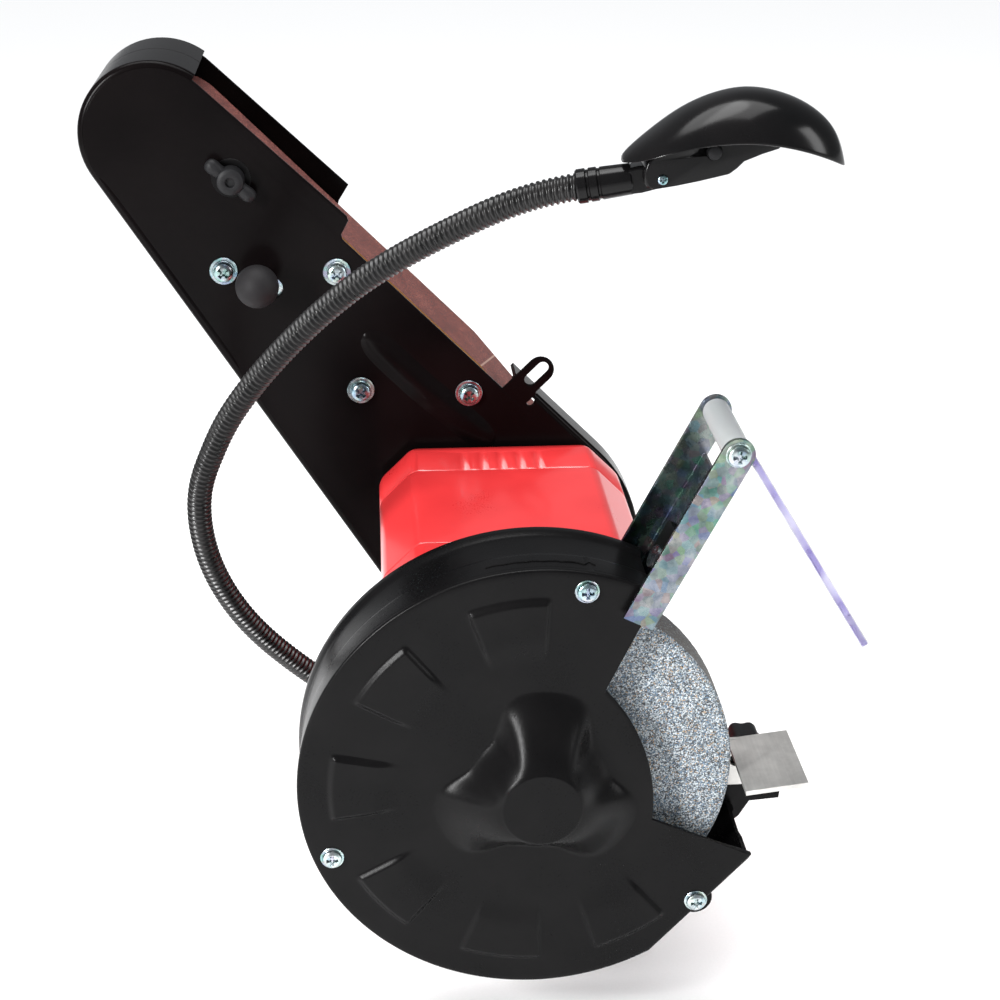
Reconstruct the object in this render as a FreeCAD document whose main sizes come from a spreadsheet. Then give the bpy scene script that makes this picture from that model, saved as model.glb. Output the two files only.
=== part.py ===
import FreeCAD
import Part
import Sketcher
import math
import os
from FreeCAD import Placement, Rotation, Vector

# Bench grinder with one grinding wheel (-X end) and one belt arm (+X end).
# +Z is up, the operator stands at -Y, and the origin is on the bench plane
# under the middle of the motor. All sizes are millimetres.

doc = FreeCAD.newDocument("bench_grinder")
sheet = doc.addObject("Spreadsheet::Sheet", "sizes")

SIZES = {
    # motor and base
    "spindle_height": 120, "motor_half_width": 56, "motor_half_height": 56.5, "motor_bevel": 15,
    "shell_half_length": 38, "motor_half_length": 68, "casting_wall": 3, "neck_radius": 24, "fit_gap": 0.3,
    "base_half_length": 58, "base_half_depth": 48, "base_wall": 2, "foot_height": 8, "foot_radius": 11,
    "bolt_hole_radius": 4.25, "bolt_spread_x": 66, "bolt_spread_y": 44, "plate_sheet": 1.5,
    # shaft
    "spindle_radius": 8.5, "arbor_radius": 6.3, "running_gap": 0.05,
    "bearing_radius": 20, "bearing_width": 12,
    "rotor_radius": 30, "air_gap": 0.5, "core_half_length": 30,
    # wheel and guard
    "wheel_radius": 75, "wheel_width": 20, "wheel_left": -126, "flange_radius": 25, "flange_width": 4,
    "blotter": 0.6, "guard_radius": 90.3, "guard_sheet": 1.5, "guard_left": -135.5, "guard_right": -97.5,
    "dome_radius": 40, "dome_top_radius": 14.6, "dome_height": 16.5, "cover_screw_circle": 83,
    # shield and tool rest
    "shield_arm_width": 12, "shield_arm_length": 72.7, "shield_lean": 26.8, "bracket_sheet": 1.6,
    "shield_web_length": 56, "shield_gap_left": -137.4, "shield_gap_right": -95.6, "shield_sheet": 3,
    "shield_length": 93.5, "shield_hang": 31.7, "rest_sheet": 2, "rest_tilt": 7,
    # belt arm, drawn along +Y and then tilted
    "arm_tilt": 45, "arm_left": 72, "arm_width": 61, "arm_sheet": 1.8, "tip_along": 247, "tip_up": 36,
    "tip_radius": 32.5, "arm_end_radius": 68.5, "belt_width": 50, "belt_thickness": 1.2, "belt_left": 77.5,
    "drive_radius": 49.8, "idler_radius": 24.5, "idler_along": 238, "idler_up": 33.5, "platen_start": 70,
    "platen_end": 165, "platen_sheet": 2,
    # work light
    "neck_tube_radius": 4.9, "lamp_x": -96, "lamp_rim_z": 348.5,
}
for number, (alias, value) in enumerate(SIZES.items(), start=1):
    sheet.set("A%d" % number, alias)
    sheet.set("B%d" % number, str(value))
    sheet.setAlias("B%d" % number, alias)
doc.recompute()

PARTS = []


def size(alias):
    return float(sheet.get(alias))


def keep(made, label):
    made.Label = label
    PARTS.append(made)
    return made


def linked(text):
    """Turns the aliases in an expression into references to the sheet."""
    words = []
    for word in text.replace("(", "( ").replace(")", " )").split():
        words.append("sizes." + word if word in SIZES else word)
    return " ".join(words)


def bind(made, prop, text):
    made.setExpression(prop, linked(str(text)))


# --- PartDesign building steps ------------------------------------------------

def new_body(label, lean=0.0):
    """A body whose X axis is the spindle line, leaned about it by an angle."""
    made = doc.addObject("PartDesign::Body", label)
    made.Placement = Placement(Vector(0, 0, size("spindle_height")), Rotation(Vector(1, 0, 0), lean))
    return keep(made, label)


def new_sketch(body, role, offset):
    drawn = body.newObject("Sketcher::SketchObject", body.Name + "_sketch")
    base = [item for item in body.Origin.OriginFeatures if item.Role == role][0]
    drawn.AttachmentSupport = [(base, "")]
    drawn.MapMode = "FlatFace"
    bind(drawn, "AttachmentOffset.Base.z", offset)
    return drawn


def circle(drawn, radius, along=0.0, up=0.0):
    index = drawn.addGeometry(Part.Circle(Vector(along, up, 0), Vector(0, 0, 1), 5), False)
    drawn.addConstraint(Sketcher.Constraint("Radius", index, 5))
    bind(drawn, "Constraints[%d]" % (drawn.ConstraintCount - 1), radius)
    return drawn


def pad(body, drawn, length):
    made = body.newObject("PartDesign::Pad", body.Name + "_pad")
    made.Profile = drawn
    bind(made, "Length", length)
    drawn.Visibility = False
    return made


def pocket(body, drawn, length):
    """Cuts along the sketch's normal, so towards +X, and checks that it did."""
    doc.recompute()
    before = body.Shape.Volume
    made = body.newObject("PartDesign::Pocket", body.Name + "_pocket")
    made.Profile = drawn
    made.Reversed = True
    bind(made, "Length", length)
    doc.recompute()
    if body.Shape.Volume >= before - 1e-3:
        raise ValueError(body.Label + ": a pocket cut nothing")
    return made


def disc(body, start, radius, length, along=0.0, up=0.0):
    return pad(body, circle(new_sketch(body, "YZ_Plane", start), radius, along, up), length)


def bore(body, start, radius, length, along=0.0, up=0.0):
    return pocket(body, circle(new_sketch(body, "YZ_Plane", start), radius, along, up), length)


def drawn_on_yz(body, start, edges):
    drawn = new_sketch(body, "YZ_Plane", start)
    drawn.addGeometry(edges, False)
    return drawn


def closed(points):
    return [Part.LineSegment(a, b) for a, b in zip(points, points[1:] + points[:1])]


def point(along, up):
    return Vector(along, up, 0)


def polar(radius, degrees):
    return point(radius * math.cos(math.radians(degrees)), radius * math.sin(math.radians(degrees)))


def arc(start, middle, end):
    return Part.Arc(start, middle, end)


# --- Part primitives ------------------------------------------------------------

def box(sizes, corner, label=None):
    made = doc.addObject("Part::Box", "block")
    for prop, text in zip(("Length", "Width", "Height"), sizes):
        bind(made, prop, text)
    for prop, text in zip("xyz", corner):
        bind(made, "Placement.Base." + prop, text)
    return keep(made, label) if label else made


TURN = {"x": Rotation(Vector(0, 1, 0), 90), "y": Rotation(Vector(1, 0, 0), -90), "z": Rotation()}


def rod(radius, length, start, axis="x", label=None):
    made = doc.addObject("Part::Cylinder", "rod")
    bind(made, "Radius", radius)
    bind(made, "Height", length)
    made.Placement = Placement(Vector(), TURN[axis])
    for prop, text in zip("xyz", start):
        bind(made, "Placement.Base." + prop, text)
    return keep(made, label) if label else made


def fused(pieces, label=None):
    made = doc.addObject("Part::MultiFuse", "joined")
    made.Shapes = pieces
    return keep(made, label) if label else made


def cut(base, tool, label=None):
    made = doc.addObject("Part::Cut", "cut")
    made.Base = base
    made.Tool = tool
    return keep(made, label) if label else made


def grouped(shapes, label, lean=0.0, about=Vector()):
    """Separate solids in one node, such as a set of identical screws."""
    made = doc.addObject("Part::Feature", label)
    made.Shape = Part.makeCompound(shapes)
    made.Placement = Placement(about, Rotation(Vector(1, 0, 0), lean))
    return keep(made, label)


def solid_rod(radius, length, start, direction):
    return Part.makeCylinder(radius, length, Vector(*start), Vector(*direction))


# ===== base ======================================================================
DECK = "foot_height + plate_sheet"
TOP = "spindle_height - motor_half_height"


def base_housing():
    outer = box(("2 * base_half_length", "2 * base_half_depth", TOP + " - ( " + DECK + " )"),
                ("0 - base_half_length", "0 - base_half_depth", DECK))
    rim = box(("2 * ( base_half_length + 18 )", "2 * ( base_half_depth + 6 )", "base_wall"),
              ("0 - base_half_length - 18", "0 - base_half_depth - 6", DECK))
    inner = box(("2 * ( base_half_length - base_wall )", "2 * ( base_half_depth - base_wall )",
                 TOP + " - ( " + DECK + " ) - base_wall"),
                ("base_wall - base_half_length", "base_wall - base_half_depth", DECK))
    window = box(("40", "base_wall + 2", "24"), ("0 - 20", "0 - base_half_depth - 1", "25"))
    cable_way = rod("7.2", "base_wall + 4", ("34", "base_half_depth - base_wall - 2", "32"), "y")
    tools = [inner, window, cable_way] + bolt_holes(DECK, "base_wall")
    cut(fused([outer, rim]), fused(tools), "base_housing")


def bolt_holes(start, length):
    holes = []
    for side_x in ("", "0 - "):
        for side_y in ("", "0 - "):
            holes.append(rod("bolt_hole_radius", length,
                             (side_x + "bolt_spread_x", side_y + "bolt_spread_y", start), "z"))
    return holes


def base_plate():
    sheet_metal = box(("2 * ( base_half_length + 18 )", "2 * ( base_half_depth + 6 )", "plate_sheet"),
                      ("0 - base_half_length - 18", "0 - base_half_depth - 6", "foot_height"))
    cut(sheet_metal, fused(bolt_holes("foot_height", "plate_sheet")), "base_plate")


def rubber_feet():
    feet = []
    for side_x in (1, -1):
        for side_y in (1, -1):
            start = (side_x * size("bolt_spread_x"), side_y * size("bolt_spread_y"), 0)
            outer = solid_rod(size("foot_radius"), size("foot_height"), start, (0, 0, 1))
            hole = solid_rod(size("bolt_hole_radius"), size("foot_height"), start, (0, 0, 1))
            feet.append(outer.cut(hole))
    grouped(feet, "rubber_feet")


def switch_group():
    face = "0 - base_half_depth - 3"
    plate = box(("48", "3", "32"), ("0 - 24", face, "21"))
    holes = [rod("8.4", "3", (x, face, "37"), "y") for x in ("11", "0 - 11")]
    cut(plate, fused(holes), "switch_plate")
    rod("8", "10", ("11", "0 - base_half_depth - 7", "37"), "y", "start_button")
    rod("8", "10", ("0 - 11", "0 - base_half_depth - 7", "37"), "y", "stop_button")
    box(("38", "22", "22"), ("0 - 19", "9 - base_half_depth", "26"), "switch_body")


def electrics():
    rod("16", "62", ("0 - 31", "20", "32"), "x", "run_capacitor")
    collar = rod("10", "6", ("34", "base_half_depth", "32"), "y")
    barrel = rod("7", "16", ("34", "base_half_depth - 6", "32"), "y")
    way = rod("4", "20", ("34", "base_half_depth - 8", "32"), "y")
    cut(fused([collar, barrel]), way, "cord_gland")


# ===== motor =====================================================================

def bevelled(inset):
    """The motor's outline: a box with four bevelled corners, inset all round."""
    wide = size("motor_half_width") - inset
    high = size("motor_half_height") - inset
    bevel = size("motor_bevel") - inset * (2 - math.sqrt(2))
    corner = [(wide, high - bevel), (wide - bevel, high)]
    quarter = corner + [(-y, z) for y, z in reversed(corner)]
    return closed([point(y, z) for y, z in quarter + [(-y, -z) for y, z in quarter]])


def motor_shell():
    body = new_body("motor_shell")
    pad(body, drawn_on_yz(body, "0 - shell_half_length", bevelled(0)), "2 * shell_half_length")
    pocket(body, drawn_on_yz(body, "0 - shell_half_length", bevelled(size("casting_wall"))),
           "2 * shell_half_length")


def end_bells():
    depth = "motor_half_length - shell_half_length"
    left = new_body("end_bell_left")
    pad(left, drawn_on_yz(left, "0 - motor_half_length", bevelled(0)), depth)
    disc(left, "guard_right", "neck_radius", "0 - guard_right - motor_half_length")
    pocket(left, drawn_on_yz(left, "5 - motor_half_length", bevelled(size("casting_wall"))), depth + " - 5")
    disc(left, "0 - motor_half_length", "neck_radius", "16")
    bore(left, "4 - motor_half_length", "bearing_radius", "bearing_width")
    bore(left, "guard_right", "spindle_radius + 1.5", "0 - guard_right - motor_half_length + 4")
    for place in GUARD_BACK_SCREWS[:4]:
        bore(left, "guard_right", "2.05", "10.5", *place)
    right = new_body("end_bell_right")
    pad(right, drawn_on_yz(right, "shell_half_length", bevelled(0)), depth)
    pocket(right, drawn_on_yz(right, "shell_half_length", bevelled(size("casting_wall"))), depth + " - 5")
    disc(right, "motor_half_length - 16", "neck_radius", "16")
    disc(right, "motor_half_length", "neck_radius + 1", "7")
    bore(right, "motor_half_length - 16", "bearing_radius", "bearing_width")
    bore(right, "motor_half_length - 4", "spindle_radius + 1.5", "11")
    for side, bell in ((-1, left), (1, right)):
        for y in (38, -38):
            for z in (38, -38):
                start = "0 - motor_half_length" if side < 0 else "motor_half_length - 5"
                bore(bell, start, "2.3", "5", y, z)


def motor_inside():
    long_way = size("motor_half_length")
    height = size("spindle_height")
    bolts = []
    for y in (38, -38):
        for z in (38, -38):
            shank = solid_rod(2, 2 * long_way - 1, (-long_way, y, z + height), (1, 0, 0))
            head = solid_rod(4, 3, (-long_way - 3, y, z + height), (1, 0, 0))
            bolts.append(shank.fuse(head))
    grouped(bolts, "motor_through_bolts")
    core = new_body("stator_core")
    disc(core, "0 - core_half_length", "50", "2 * core_half_length")
    bore(core, "0 - core_half_length", "rotor_radius + air_gap", "2 * core_half_length")
    rings = []
    for start in (-size("core_half_length") - 13, size("core_half_length") + 0.2):
        ring = solid_rod(47, 12.8, (start, 0, height), (1, 0, 0))
        rings.append(ring.cut(solid_rod(34, 12.8, (start, 0, height), (1, 0, 0))))
    grouped(rings, "stator_windings")
    races = []
    width = size("bearing_width")
    for start in (4 - long_way, long_way - 4 - width):
        ring = solid_rod(size("bearing_radius"), width, (start, 0, height), (1, 0, 0))
        hole = size("spindle_radius") + size("running_gap")
        races.append(ring.cut(solid_rod(hole, width, (start, 0, height), (1, 0, 0))))
    grouped(races, "bearings")


def spindle_group():
    shaft = new_body("spindle")
    disc(shaft, "guard_left - 7", "arbor_radius", "0 - guard_left + 7 + motor_half_length + 62.5")
    disc(shaft, "wheel_left + wheel_width + blotter + flange_width", "spindle_radius",
         "0 - wheel_left - wheel_width - blotter - flange_width + motor_half_length + 7.6")
    rotor = new_body("rotor_core")
    disc(rotor, "0 - core_half_length", "rotor_radius", "2 * core_half_length")
    disc(rotor, "0 - core_half_length - 6", "rotor_radius - 5", "2 * core_half_length + 12")
    bore(rotor, "0 - core_half_length - 6", "spindle_radius", "2 * core_half_length + 12")
    inner = new_body("wheel_flange_inner")
    disc(inner, "wheel_left + wheel_width + blotter", "flange_radius", "flange_width")
    bore(inner, "wheel_left + wheel_width + blotter", "arbor_radius", "flange_width")
    outer = new_body("wheel_flange_outer")
    disc(outer, "wheel_left - blotter - flange_width", "flange_radius", "flange_width")
    bore(outer, "wheel_left - blotter - flange_width", "arbor_radius", "flange_width")
    wheel = new_body("grinding_wheel")
    disc(wheel, "wheel_left", "wheel_radius", "wheel_width")
    bore(wheel, "wheel_left", "arbor_radius", "wheel_width")
    height = size("spindle_height")
    papers = []
    for start in (size("wheel_left") - size("blotter"), size("wheel_left") + size("wheel_width")):
        paper = solid_rod(size("flange_radius") + 2, size("blotter"), (start, 0, height), (1, 0, 0))
        hole = solid_rod(size("arbor_radius"), size("blotter"), (start, 0, height), (1, 0, 0))
        papers.append(paper.cut(hole))
    grouped(papers, "wheel_blotters")


def hexagon(across):
    return closed([polar(across / math.sqrt(3), 60 * n + 30) for n in range(6)])


def nuts():
    nut = new_body("wheel_nut")
    start = "wheel_left - blotter - flange_width - 8"
    pad(nut, drawn_on_yz(nut, start, hexagon(19)), "8")
    bore(nut, start, "arbor_radius", "8")
    lock = new_body("drive_wheel_nut")
    pad(lock, drawn_on_yz(lock, "122", hexagon(19)), "8")
    bore(lock, "122", "arbor_radius", "8")


# ===== wheel guard ===============================================================
OPEN_TOP, OPEN_LOW, CHORD_END = 116.8, 203.4, 240.0


def guard_outline(inset):
    """A circle with one straight chord at the lower front, inset all round."""
    radius = size("guard_radius") - inset
    centre_gap = size("guard_radius") * math.cos(math.radians((CHORD_END - OPEN_LOW) / 2)) - inset
    half = math.degrees(math.acos(centre_gap / radius))
    middle = (CHORD_END + OPEN_LOW) / 2
    low, high = polar(radius, middle + half), polar(radius, middle - half)
    return [arc(high, polar(radius, 0), low), Part.LineSegment(low, high)]


def guard_window(inner, middle, outer):
    """The wheel's opening at the front: a sector from an inner curve outwards."""
    corners = [polar(outer, OPEN_TOP), polar(inner, 121), polar(inner, 201), polar(outer, OPEN_LOW)]
    return [Part.LineSegment(corners[0], corners[1]), arc(corners[1], polar(middle, 160), corners[2]),
            Part.LineSegment(corners[2], corners[3]), Part.LineSegment(corners[3], corners[0])]


COVER_SCREWS = (101.4, -20.0, 221.3)


def guard_body():
    body = new_body("guard_body")
    front = "guard_left + guard_sheet"
    depth = "guard_right - guard_left - guard_sheet"
    pad(body, drawn_on_yz(body, front, guard_outline(0)), depth)
    pocket(body, drawn_on_yz(body, front, guard_outline(size("guard_sheet"))), depth + " - guard_sheet")
    for angle in COVER_SCREWS:
        place = polar(size("cover_screw_circle"), angle)
        disc(body, front, "6.8", "14", place.x, place.y)
    pocket(body, drawn_on_yz(body, "guard_left", guard_window(60, 60, 150)), "guard_right - guard_left + 1")
    bore(body, "guard_right - guard_sheet", "spindle_radius + 3", "guard_sheet")
    for angle in COVER_SCREWS:
        place = polar(size("cover_screw_circle"), angle)
        bore(body, front, "2.05", "14", place.x, place.y)
    for place in GUARD_BACK_SCREWS:
        bore(body, "guard_right - guard_sheet", "2.1", "guard_sheet", *place)
    foot = tab_shape()
    joined = doc.addObject("Part::Feature", "guard_body_with_tab")
    doc.recompute()
    joined.Shape = body.Shape.fuse(foot).removeSplitter()
    PARTS.remove(body)
    body.Label = "guard_pressing"
    keep(joined, "guard_body")


def tab_shape():
    """The rim's end turned out into the shield bracket, with a bolt hole."""
    centre = (size("guard_left") + size("guard_right")) / 2
    flat = Part.makeBox(24, 1.5, 17, Vector(centre - 12, -4.2, 9))
    root = Part.makeBox(24, 5.2, 4, Vector(centre - 12, -4.2, 8.6))
    hole = solid_rod(2.6, 8, (centre, -7, 18.4), (0, 1, 0))
    made = flat.fuse(root).cut(hole)
    made.Placement = shield_place()
    return made


GUARD_BACK_SCREWS = ((0, 18), (0, -18), (18, 0), (-18, 0), (-38, -36), (-52, -50))


def guard_cover():
    body = new_body("guard_cover")
    pad(body, drawn_on_yz(body, "guard_left", guard_outline(0)), "guard_sheet")
    pocket(body, drawn_on_yz(body, "guard_left", guard_window(47.2, 42.2, 150)), "guard_sheet")
    for angle in COVER_SCREWS:
        place = polar(size("cover_screw_circle"), angle)
        bore(body, "guard_left", "2.4", "guard_sheet", place.x, place.y)
    bore(body, "guard_left", "dome_radius - 1", "guard_sheet")
    left, top, low = size("guard_left"), size("dome_height"), size("dome_radius")
    flat, wall = size("dome_top_radius"), size("guard_sheet")
    outline = [(left, low), (left - top + 4, flat + 8), (left - top, flat), (left - top, 0),
               (left - top + wall, 0), (left - top + wall, flat - 1), (left - top + 4 + wall, flat + 6.4),
               (left + wall, low - 2.2), (left + wall, low)]
    face = Part.Face(Part.makePolygon([Vector(x, 0, r) for x, r in outline + outline[:1]]))
    dome = face.revolve(Vector(), Vector(1, 0, 0), 360)
    dome.Placement = body.Placement
    doc.recompute()
    joined = doc.addObject("Part::Feature", "guard_cover_with_dome")
    joined.Shape = body.Shape.fuse(dome).removeSplitter()
    PARTS.remove(body)
    body.Label = "cover_pressing"
    keep(joined, "guard_cover")


def guard_screws():
    height = size("spindle_height")
    left = size("guard_left")
    screws = []
    for angle in COVER_SCREWS:
        place = polar(size("cover_screw_circle"), angle)
        y, z = place.x, place.y + height
        head = solid_rod(3.8, 2.4, (left - 2.4, y, z), (1, 0, 0))
        screws.append(solid_rod(2, 15.5, (left, y, z), (1, 0, 0)).fuse(head))
    grouped(screws, "guard_cover_screws")
    right = size("guard_right")
    screws = []
    for y, z in GUARD_BACK_SCREWS:
        inner = right - size("guard_sheet")
        reach = 3 if abs(y) > 20 else 0
        length = size("guard_sheet") + (reach if reach else 10)
        shank = solid_rod(2, length, (inner, y, z + height), (1, 0, 0))
        head = solid_rod(3.8, 1.6, (inner - 1.6, y, z + height), (1, 0, 0))
        screws.append(shank.fuse(head))
    grouped(screws, "guard_back_screws")


# ===== tool rest =================================================================

def tool_rest():
    bracket = new_body("tool_rest_bracket")
    outline = [point(-28, -26), point(-48, -66), point(-62, -62), point(-86, -42), point(-90, -35),
               point(-102, -34),
               point(-104, -9), point(-82, -6), point(-66, -16)]
    pad(bracket, drawn_on_yz(bracket, "guard_right", closed(outline)), "3")
    for place in GUARD_BACK_SCREWS[4:]:
        bore(bracket, "guard_right", "2.05", "3", *place)
    bore(bracket, "guard_right", "2.55", "3", -88, -14)
    height = size("spindle_height")
    inner = size("guard_right") - size("fit_gap")
    sheet_metal = size("rest_sheet")
    leg = Part.makeBox(sheet_metal, 24, 21, Vector(inner - sheet_metal, -103, height - 25.5))
    table = Part.makeBox(38.5, 24.2, sheet_metal, Vector(inner - 38.5, -24.2, -sheet_metal))
    table.Placement = Placement(Vector(0, -79, height - 5), Rotation(Vector(1, 0, 0), -size("rest_tilt")))
    slot = Part.makeBox(sheet_metal, 7, 5.6, Vector(inner - sheet_metal, -90, height - 16.8))
    for y in (-90, -83):
        slot = slot.fuse(solid_rod(2.8, sheet_metal, (inner - sheet_metal, y, height - 14), (1, 0, 0)))
    made = doc.addObject("Part::Feature", "tool_rest_plate")
    made.Shape = leg.fuse(table).cut(slot).removeSplitter()
    keep(made, "tool_rest_plate")
    knob = new_body("tool_rest_knob")
    disc(knob, "guard_right + 3.3", "8.5", "12", -88, -14)
    disc(knob, "guard_right - rest_sheet - 3", "2.5", "8 + rest_sheet", -88, -14)
    disc(knob, "guard_right - rest_sheet - 3", "4.6", "2.4", -88, -14)


# ===== eye shield ================================================================

def shield_place():
    """The bracket's own frame: z runs up the arms, from their lower end."""
    pivot = Vector(0, -67.4, size("spindle_height") + 134.2)
    lean = Rotation(Vector(1, 0, 0), size("shield_lean"))
    return Placement(pivot - lean.multVec(Vector(0, 0, size("shield_arm_length"))), lean)


def shield_bracket():
    half, sheet_metal = size("shield_arm_width") / 2, size("bracket_sheet")
    left, right, top = size("shield_gap_left"), size("shield_gap_right"), size("shield_arm_length")
    arms = []
    for start in (left - sheet_metal, right):
        arm = Part.makeBox(sheet_metal, 2 * half, top, Vector(start, -half, 0))
        arm = arm.fuse(solid_rod(half, sheet_metal, (start, 0, top), (1, 0, 0)))
        arms.append(arm.cut(solid_rod(2.05, sheet_metal, (start, 0, top), (1, 0, 0))))
    web = Part.makeBox(right - left, sheet_metal, size("shield_web_length"), Vector(left, -half, 0))
    centre = (size("guard_left") + size("guard_right")) / 2
    slot = Part.makeBox(5.4, sheet_metal, 16, Vector(centre - 2.7, -half, 14))
    for z in (14, 30):
        slot = slot.fuse(solid_rod(2.7, sheet_metal, (centre, -half, z), (0, 1, 0)))
    made = doc.addObject("Part::Feature", "shield_bracket")
    made.Shape = arms[0].fuse(web).fuse(arms[1]).cut(slot).removeSplitter()
    made.Placement = shield_place()
    keep(made, "shield_bracket")
    bolt = solid_rod(2.5, 9, (centre, -9, 18.4), (0, 1, 0))
    bolt = bolt.fuse(solid_rod(4.4, 3, (centre, -2.7, 18.4), (0, 1, 0)))
    bolt = bolt.fuse(solid_rod(4.6, 3, (centre, -9, 18.4), (0, 1, 0)))
    made = doc.addObject("Part::Feature", "shield_bolt")
    made.Shape = bolt
    made.Placement = shield_place()
    keep(made, "shield_bolt")
    pin = solid_rod(2, right - left + 2 * sheet_metal + 2, (left - sheet_metal, 0, top), (1, 0, 0))
    pin = pin.fuse(solid_rod(4.2, 2.4, (left - sheet_metal - 2.4, 0, top), (1, 0, 0)))
    made = doc.addObject("Part::Feature", "shield_pivot_screw")
    made.Shape = pin.fuse(solid_rod(4, 3, (right + sheet_metal, 0, top), (1, 0, 0)))
    made.Placement = shield_place()
    keep(made, "shield_pivot_screw")


def eye_shield():
    left, right = size("shield_gap_left") + 0.3, size("shield_gap_right") - 0.3
    sheet_metal = size("shield_sheet")
    barrel = solid_rod(5, right - left, (left, 0, 0), (1, 0, 0))
    long = size("shield_length")
    pane = Part.makeBox(right - left, sheet_metal, long, Vector(left, -5, -long))
    made = doc.addObject("Part::Feature", "eye_shield")
    screw_way = solid_rod(2.06, right - left, (left, 0, 0), (1, 0, 0))
    made.Shape = barrel.fuse(pane).cut(screw_way).removeSplitter()
    made.Placement = Placement(Vector(0, -67.4, size("spindle_height") + 134.2),
                               Rotation(Vector(1, 0, 0), -size("shield_hang")))
    keep(made, "eye_shield")


# ===== belt arm ==================================================================

def arm_place():
    return Placement(Vector(0, 0, size("spindle_height")), Rotation(Vector(1, 0, 0), size("arm_tilt")))


def arm_outline(inset):
    """Tip arc, straight back, arc about the spindle and a straight front."""
    tip = point(size("tip_along"), size("tip_up"))
    tip_radius, end_radius = size("tip_radius") - inset, size("arm_end_radius") - inset
    back = math.radians(13.2)
    out = point(math.sin(back), -math.cos(back))
    along = point(math.cos(back), math.sin(back))
    tip_top, tip_low = tip + point(0, tip_radius), tip + out * tip_radius
    reach = out * (tip_low.x * out.x + tip_low.y * out.y)
    corner = reach - along * math.sqrt(end_radius ** 2 - reach.Length ** 2)
    return [arc(tip_top, tip + point(tip_radius, 0), tip_low), Part.LineSegment(tip_low, corner),
            arc(corner, point(-end_radius, 0), point(0, end_radius)),
            Part.LineSegment(point(0, end_radius), tip_top)]


def block_outline(low_along, low_up, high_along, high_up):
    return closed([point(low_along, low_up), point(high_along, low_up), point(high_along, high_up),
                   point(low_along, high_up)])


ARM_BOLTS = ((186, 12.7), (149.7, 47.1), (103.4, 13.9), (66.5, 47.2))


def arm_shell(label, start, depth, plate_first, step_up, step_start):
    """One pressed half: a plate with its edge turned in, open along the belt."""
    body = new_body(label, size("arm_tilt"))
    pad(body, drawn_on_yz(body, start, arm_outline(0)), depth)
    inner = start + " + arm_sheet" if plate_first else start
    pocket(body, drawn_on_yz(body, inner, arm_outline(size("arm_sheet"))), depth + " - arm_sheet")
    pocket(body, drawn_on_yz(body, inner, block_outline(step_start, 50, size("tip_along") + 5, 90)),
           depth + " - arm_sheet")
    pocket(body, drawn_on_yz(body, start, block_outline(step_start, step_up, 161, 90)), depth)
    for place in ARM_BOLTS:
        bore(body, start, "2.6", depth, *place)
    return body


def arm_plates():
    near = arm_shell("arm_plate", "arm_left", "30", True, 59.5, 57)
    pad(near, drawn_on_yz(near, "arm_left", ear_outline()), "arm_sheet")
    bore(near, "arm_left", "neck_radius + 1 + running_gap", "arm_sheet")
    pocket(near, drawn_on_yz(near, "arm_left", slot_outline(50.5, 72, 50.5, 80, 2.6)), "arm_sheet")
    pocket(near, drawn_on_yz(near, "arm_left", slot_outline(42.5, 62, 42.5, 80, 1.6)), "arm_sheet")
    pocket(near, drawn_on_yz(near, "arm_left", slot_outline(165.3, 21.7, 173.3, 21.7, 4.4)), "arm_sheet")
    bore(near, "arm_left", "3.1", "arm_sheet", 211.6, 46)
    pocket(near, drawn_on_yz(near, "arm_left + 17", plain_front()), "30 - 17")
    far = arm_shell("arm_cover", "arm_left + 30.3", "arm_width - 30.3", False, 56.5, 57)
    pocket(far, drawn_on_yz(far, "arm_left + 30.3", plain_front()), "arm_width - 30.3")
    return near, far


def plain_front():
    """The strip round the heel where the far half has no turned-in edge."""
    inner, outer, right = 53, 80, 57
    return [Part.LineSegment(point(right, inner), point(right, outer)),
            Part.LineSegment(point(right, outer), point(0, outer)),
            arc(point(0, outer), polar(outer, 135), point(-outer, 0)),
            Part.LineSegment(point(-outer, 0), point(-inner, 0)),
            arc(point(-inner, 0), polar(inner, 135), point(0, inner)),
            Part.LineSegment(point(0, inner), point(right, inner))]


def ear_outline():
    """The slotted ear that takes a work rest, standing out over the belt."""
    return [Part.LineSegment(point(44.2, 55), point(56.8, 55)),
            Part.LineSegment(point(56.8, 55), point(56.8, 78)),
            arc(point(56.8, 78), point(50.5, 84.3), point(44.2, 78)),
            Part.LineSegment(point(44.2, 78), point(44.2, 55))]


def slot_outline(along_a, up_a, along_b, up_b, radius):
    start, end = point(along_a, up_a), point(along_b, up_b)
    way = (end - start).normalize()
    side = point(-way.y, way.x) * radius
    return [Part.LineSegment(start - side, end - side), arc(end - side, end + way * radius, end + side),
            Part.LineSegment(end + side, start + side), arc(start + side, start - way * radius, start - side)]


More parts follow.
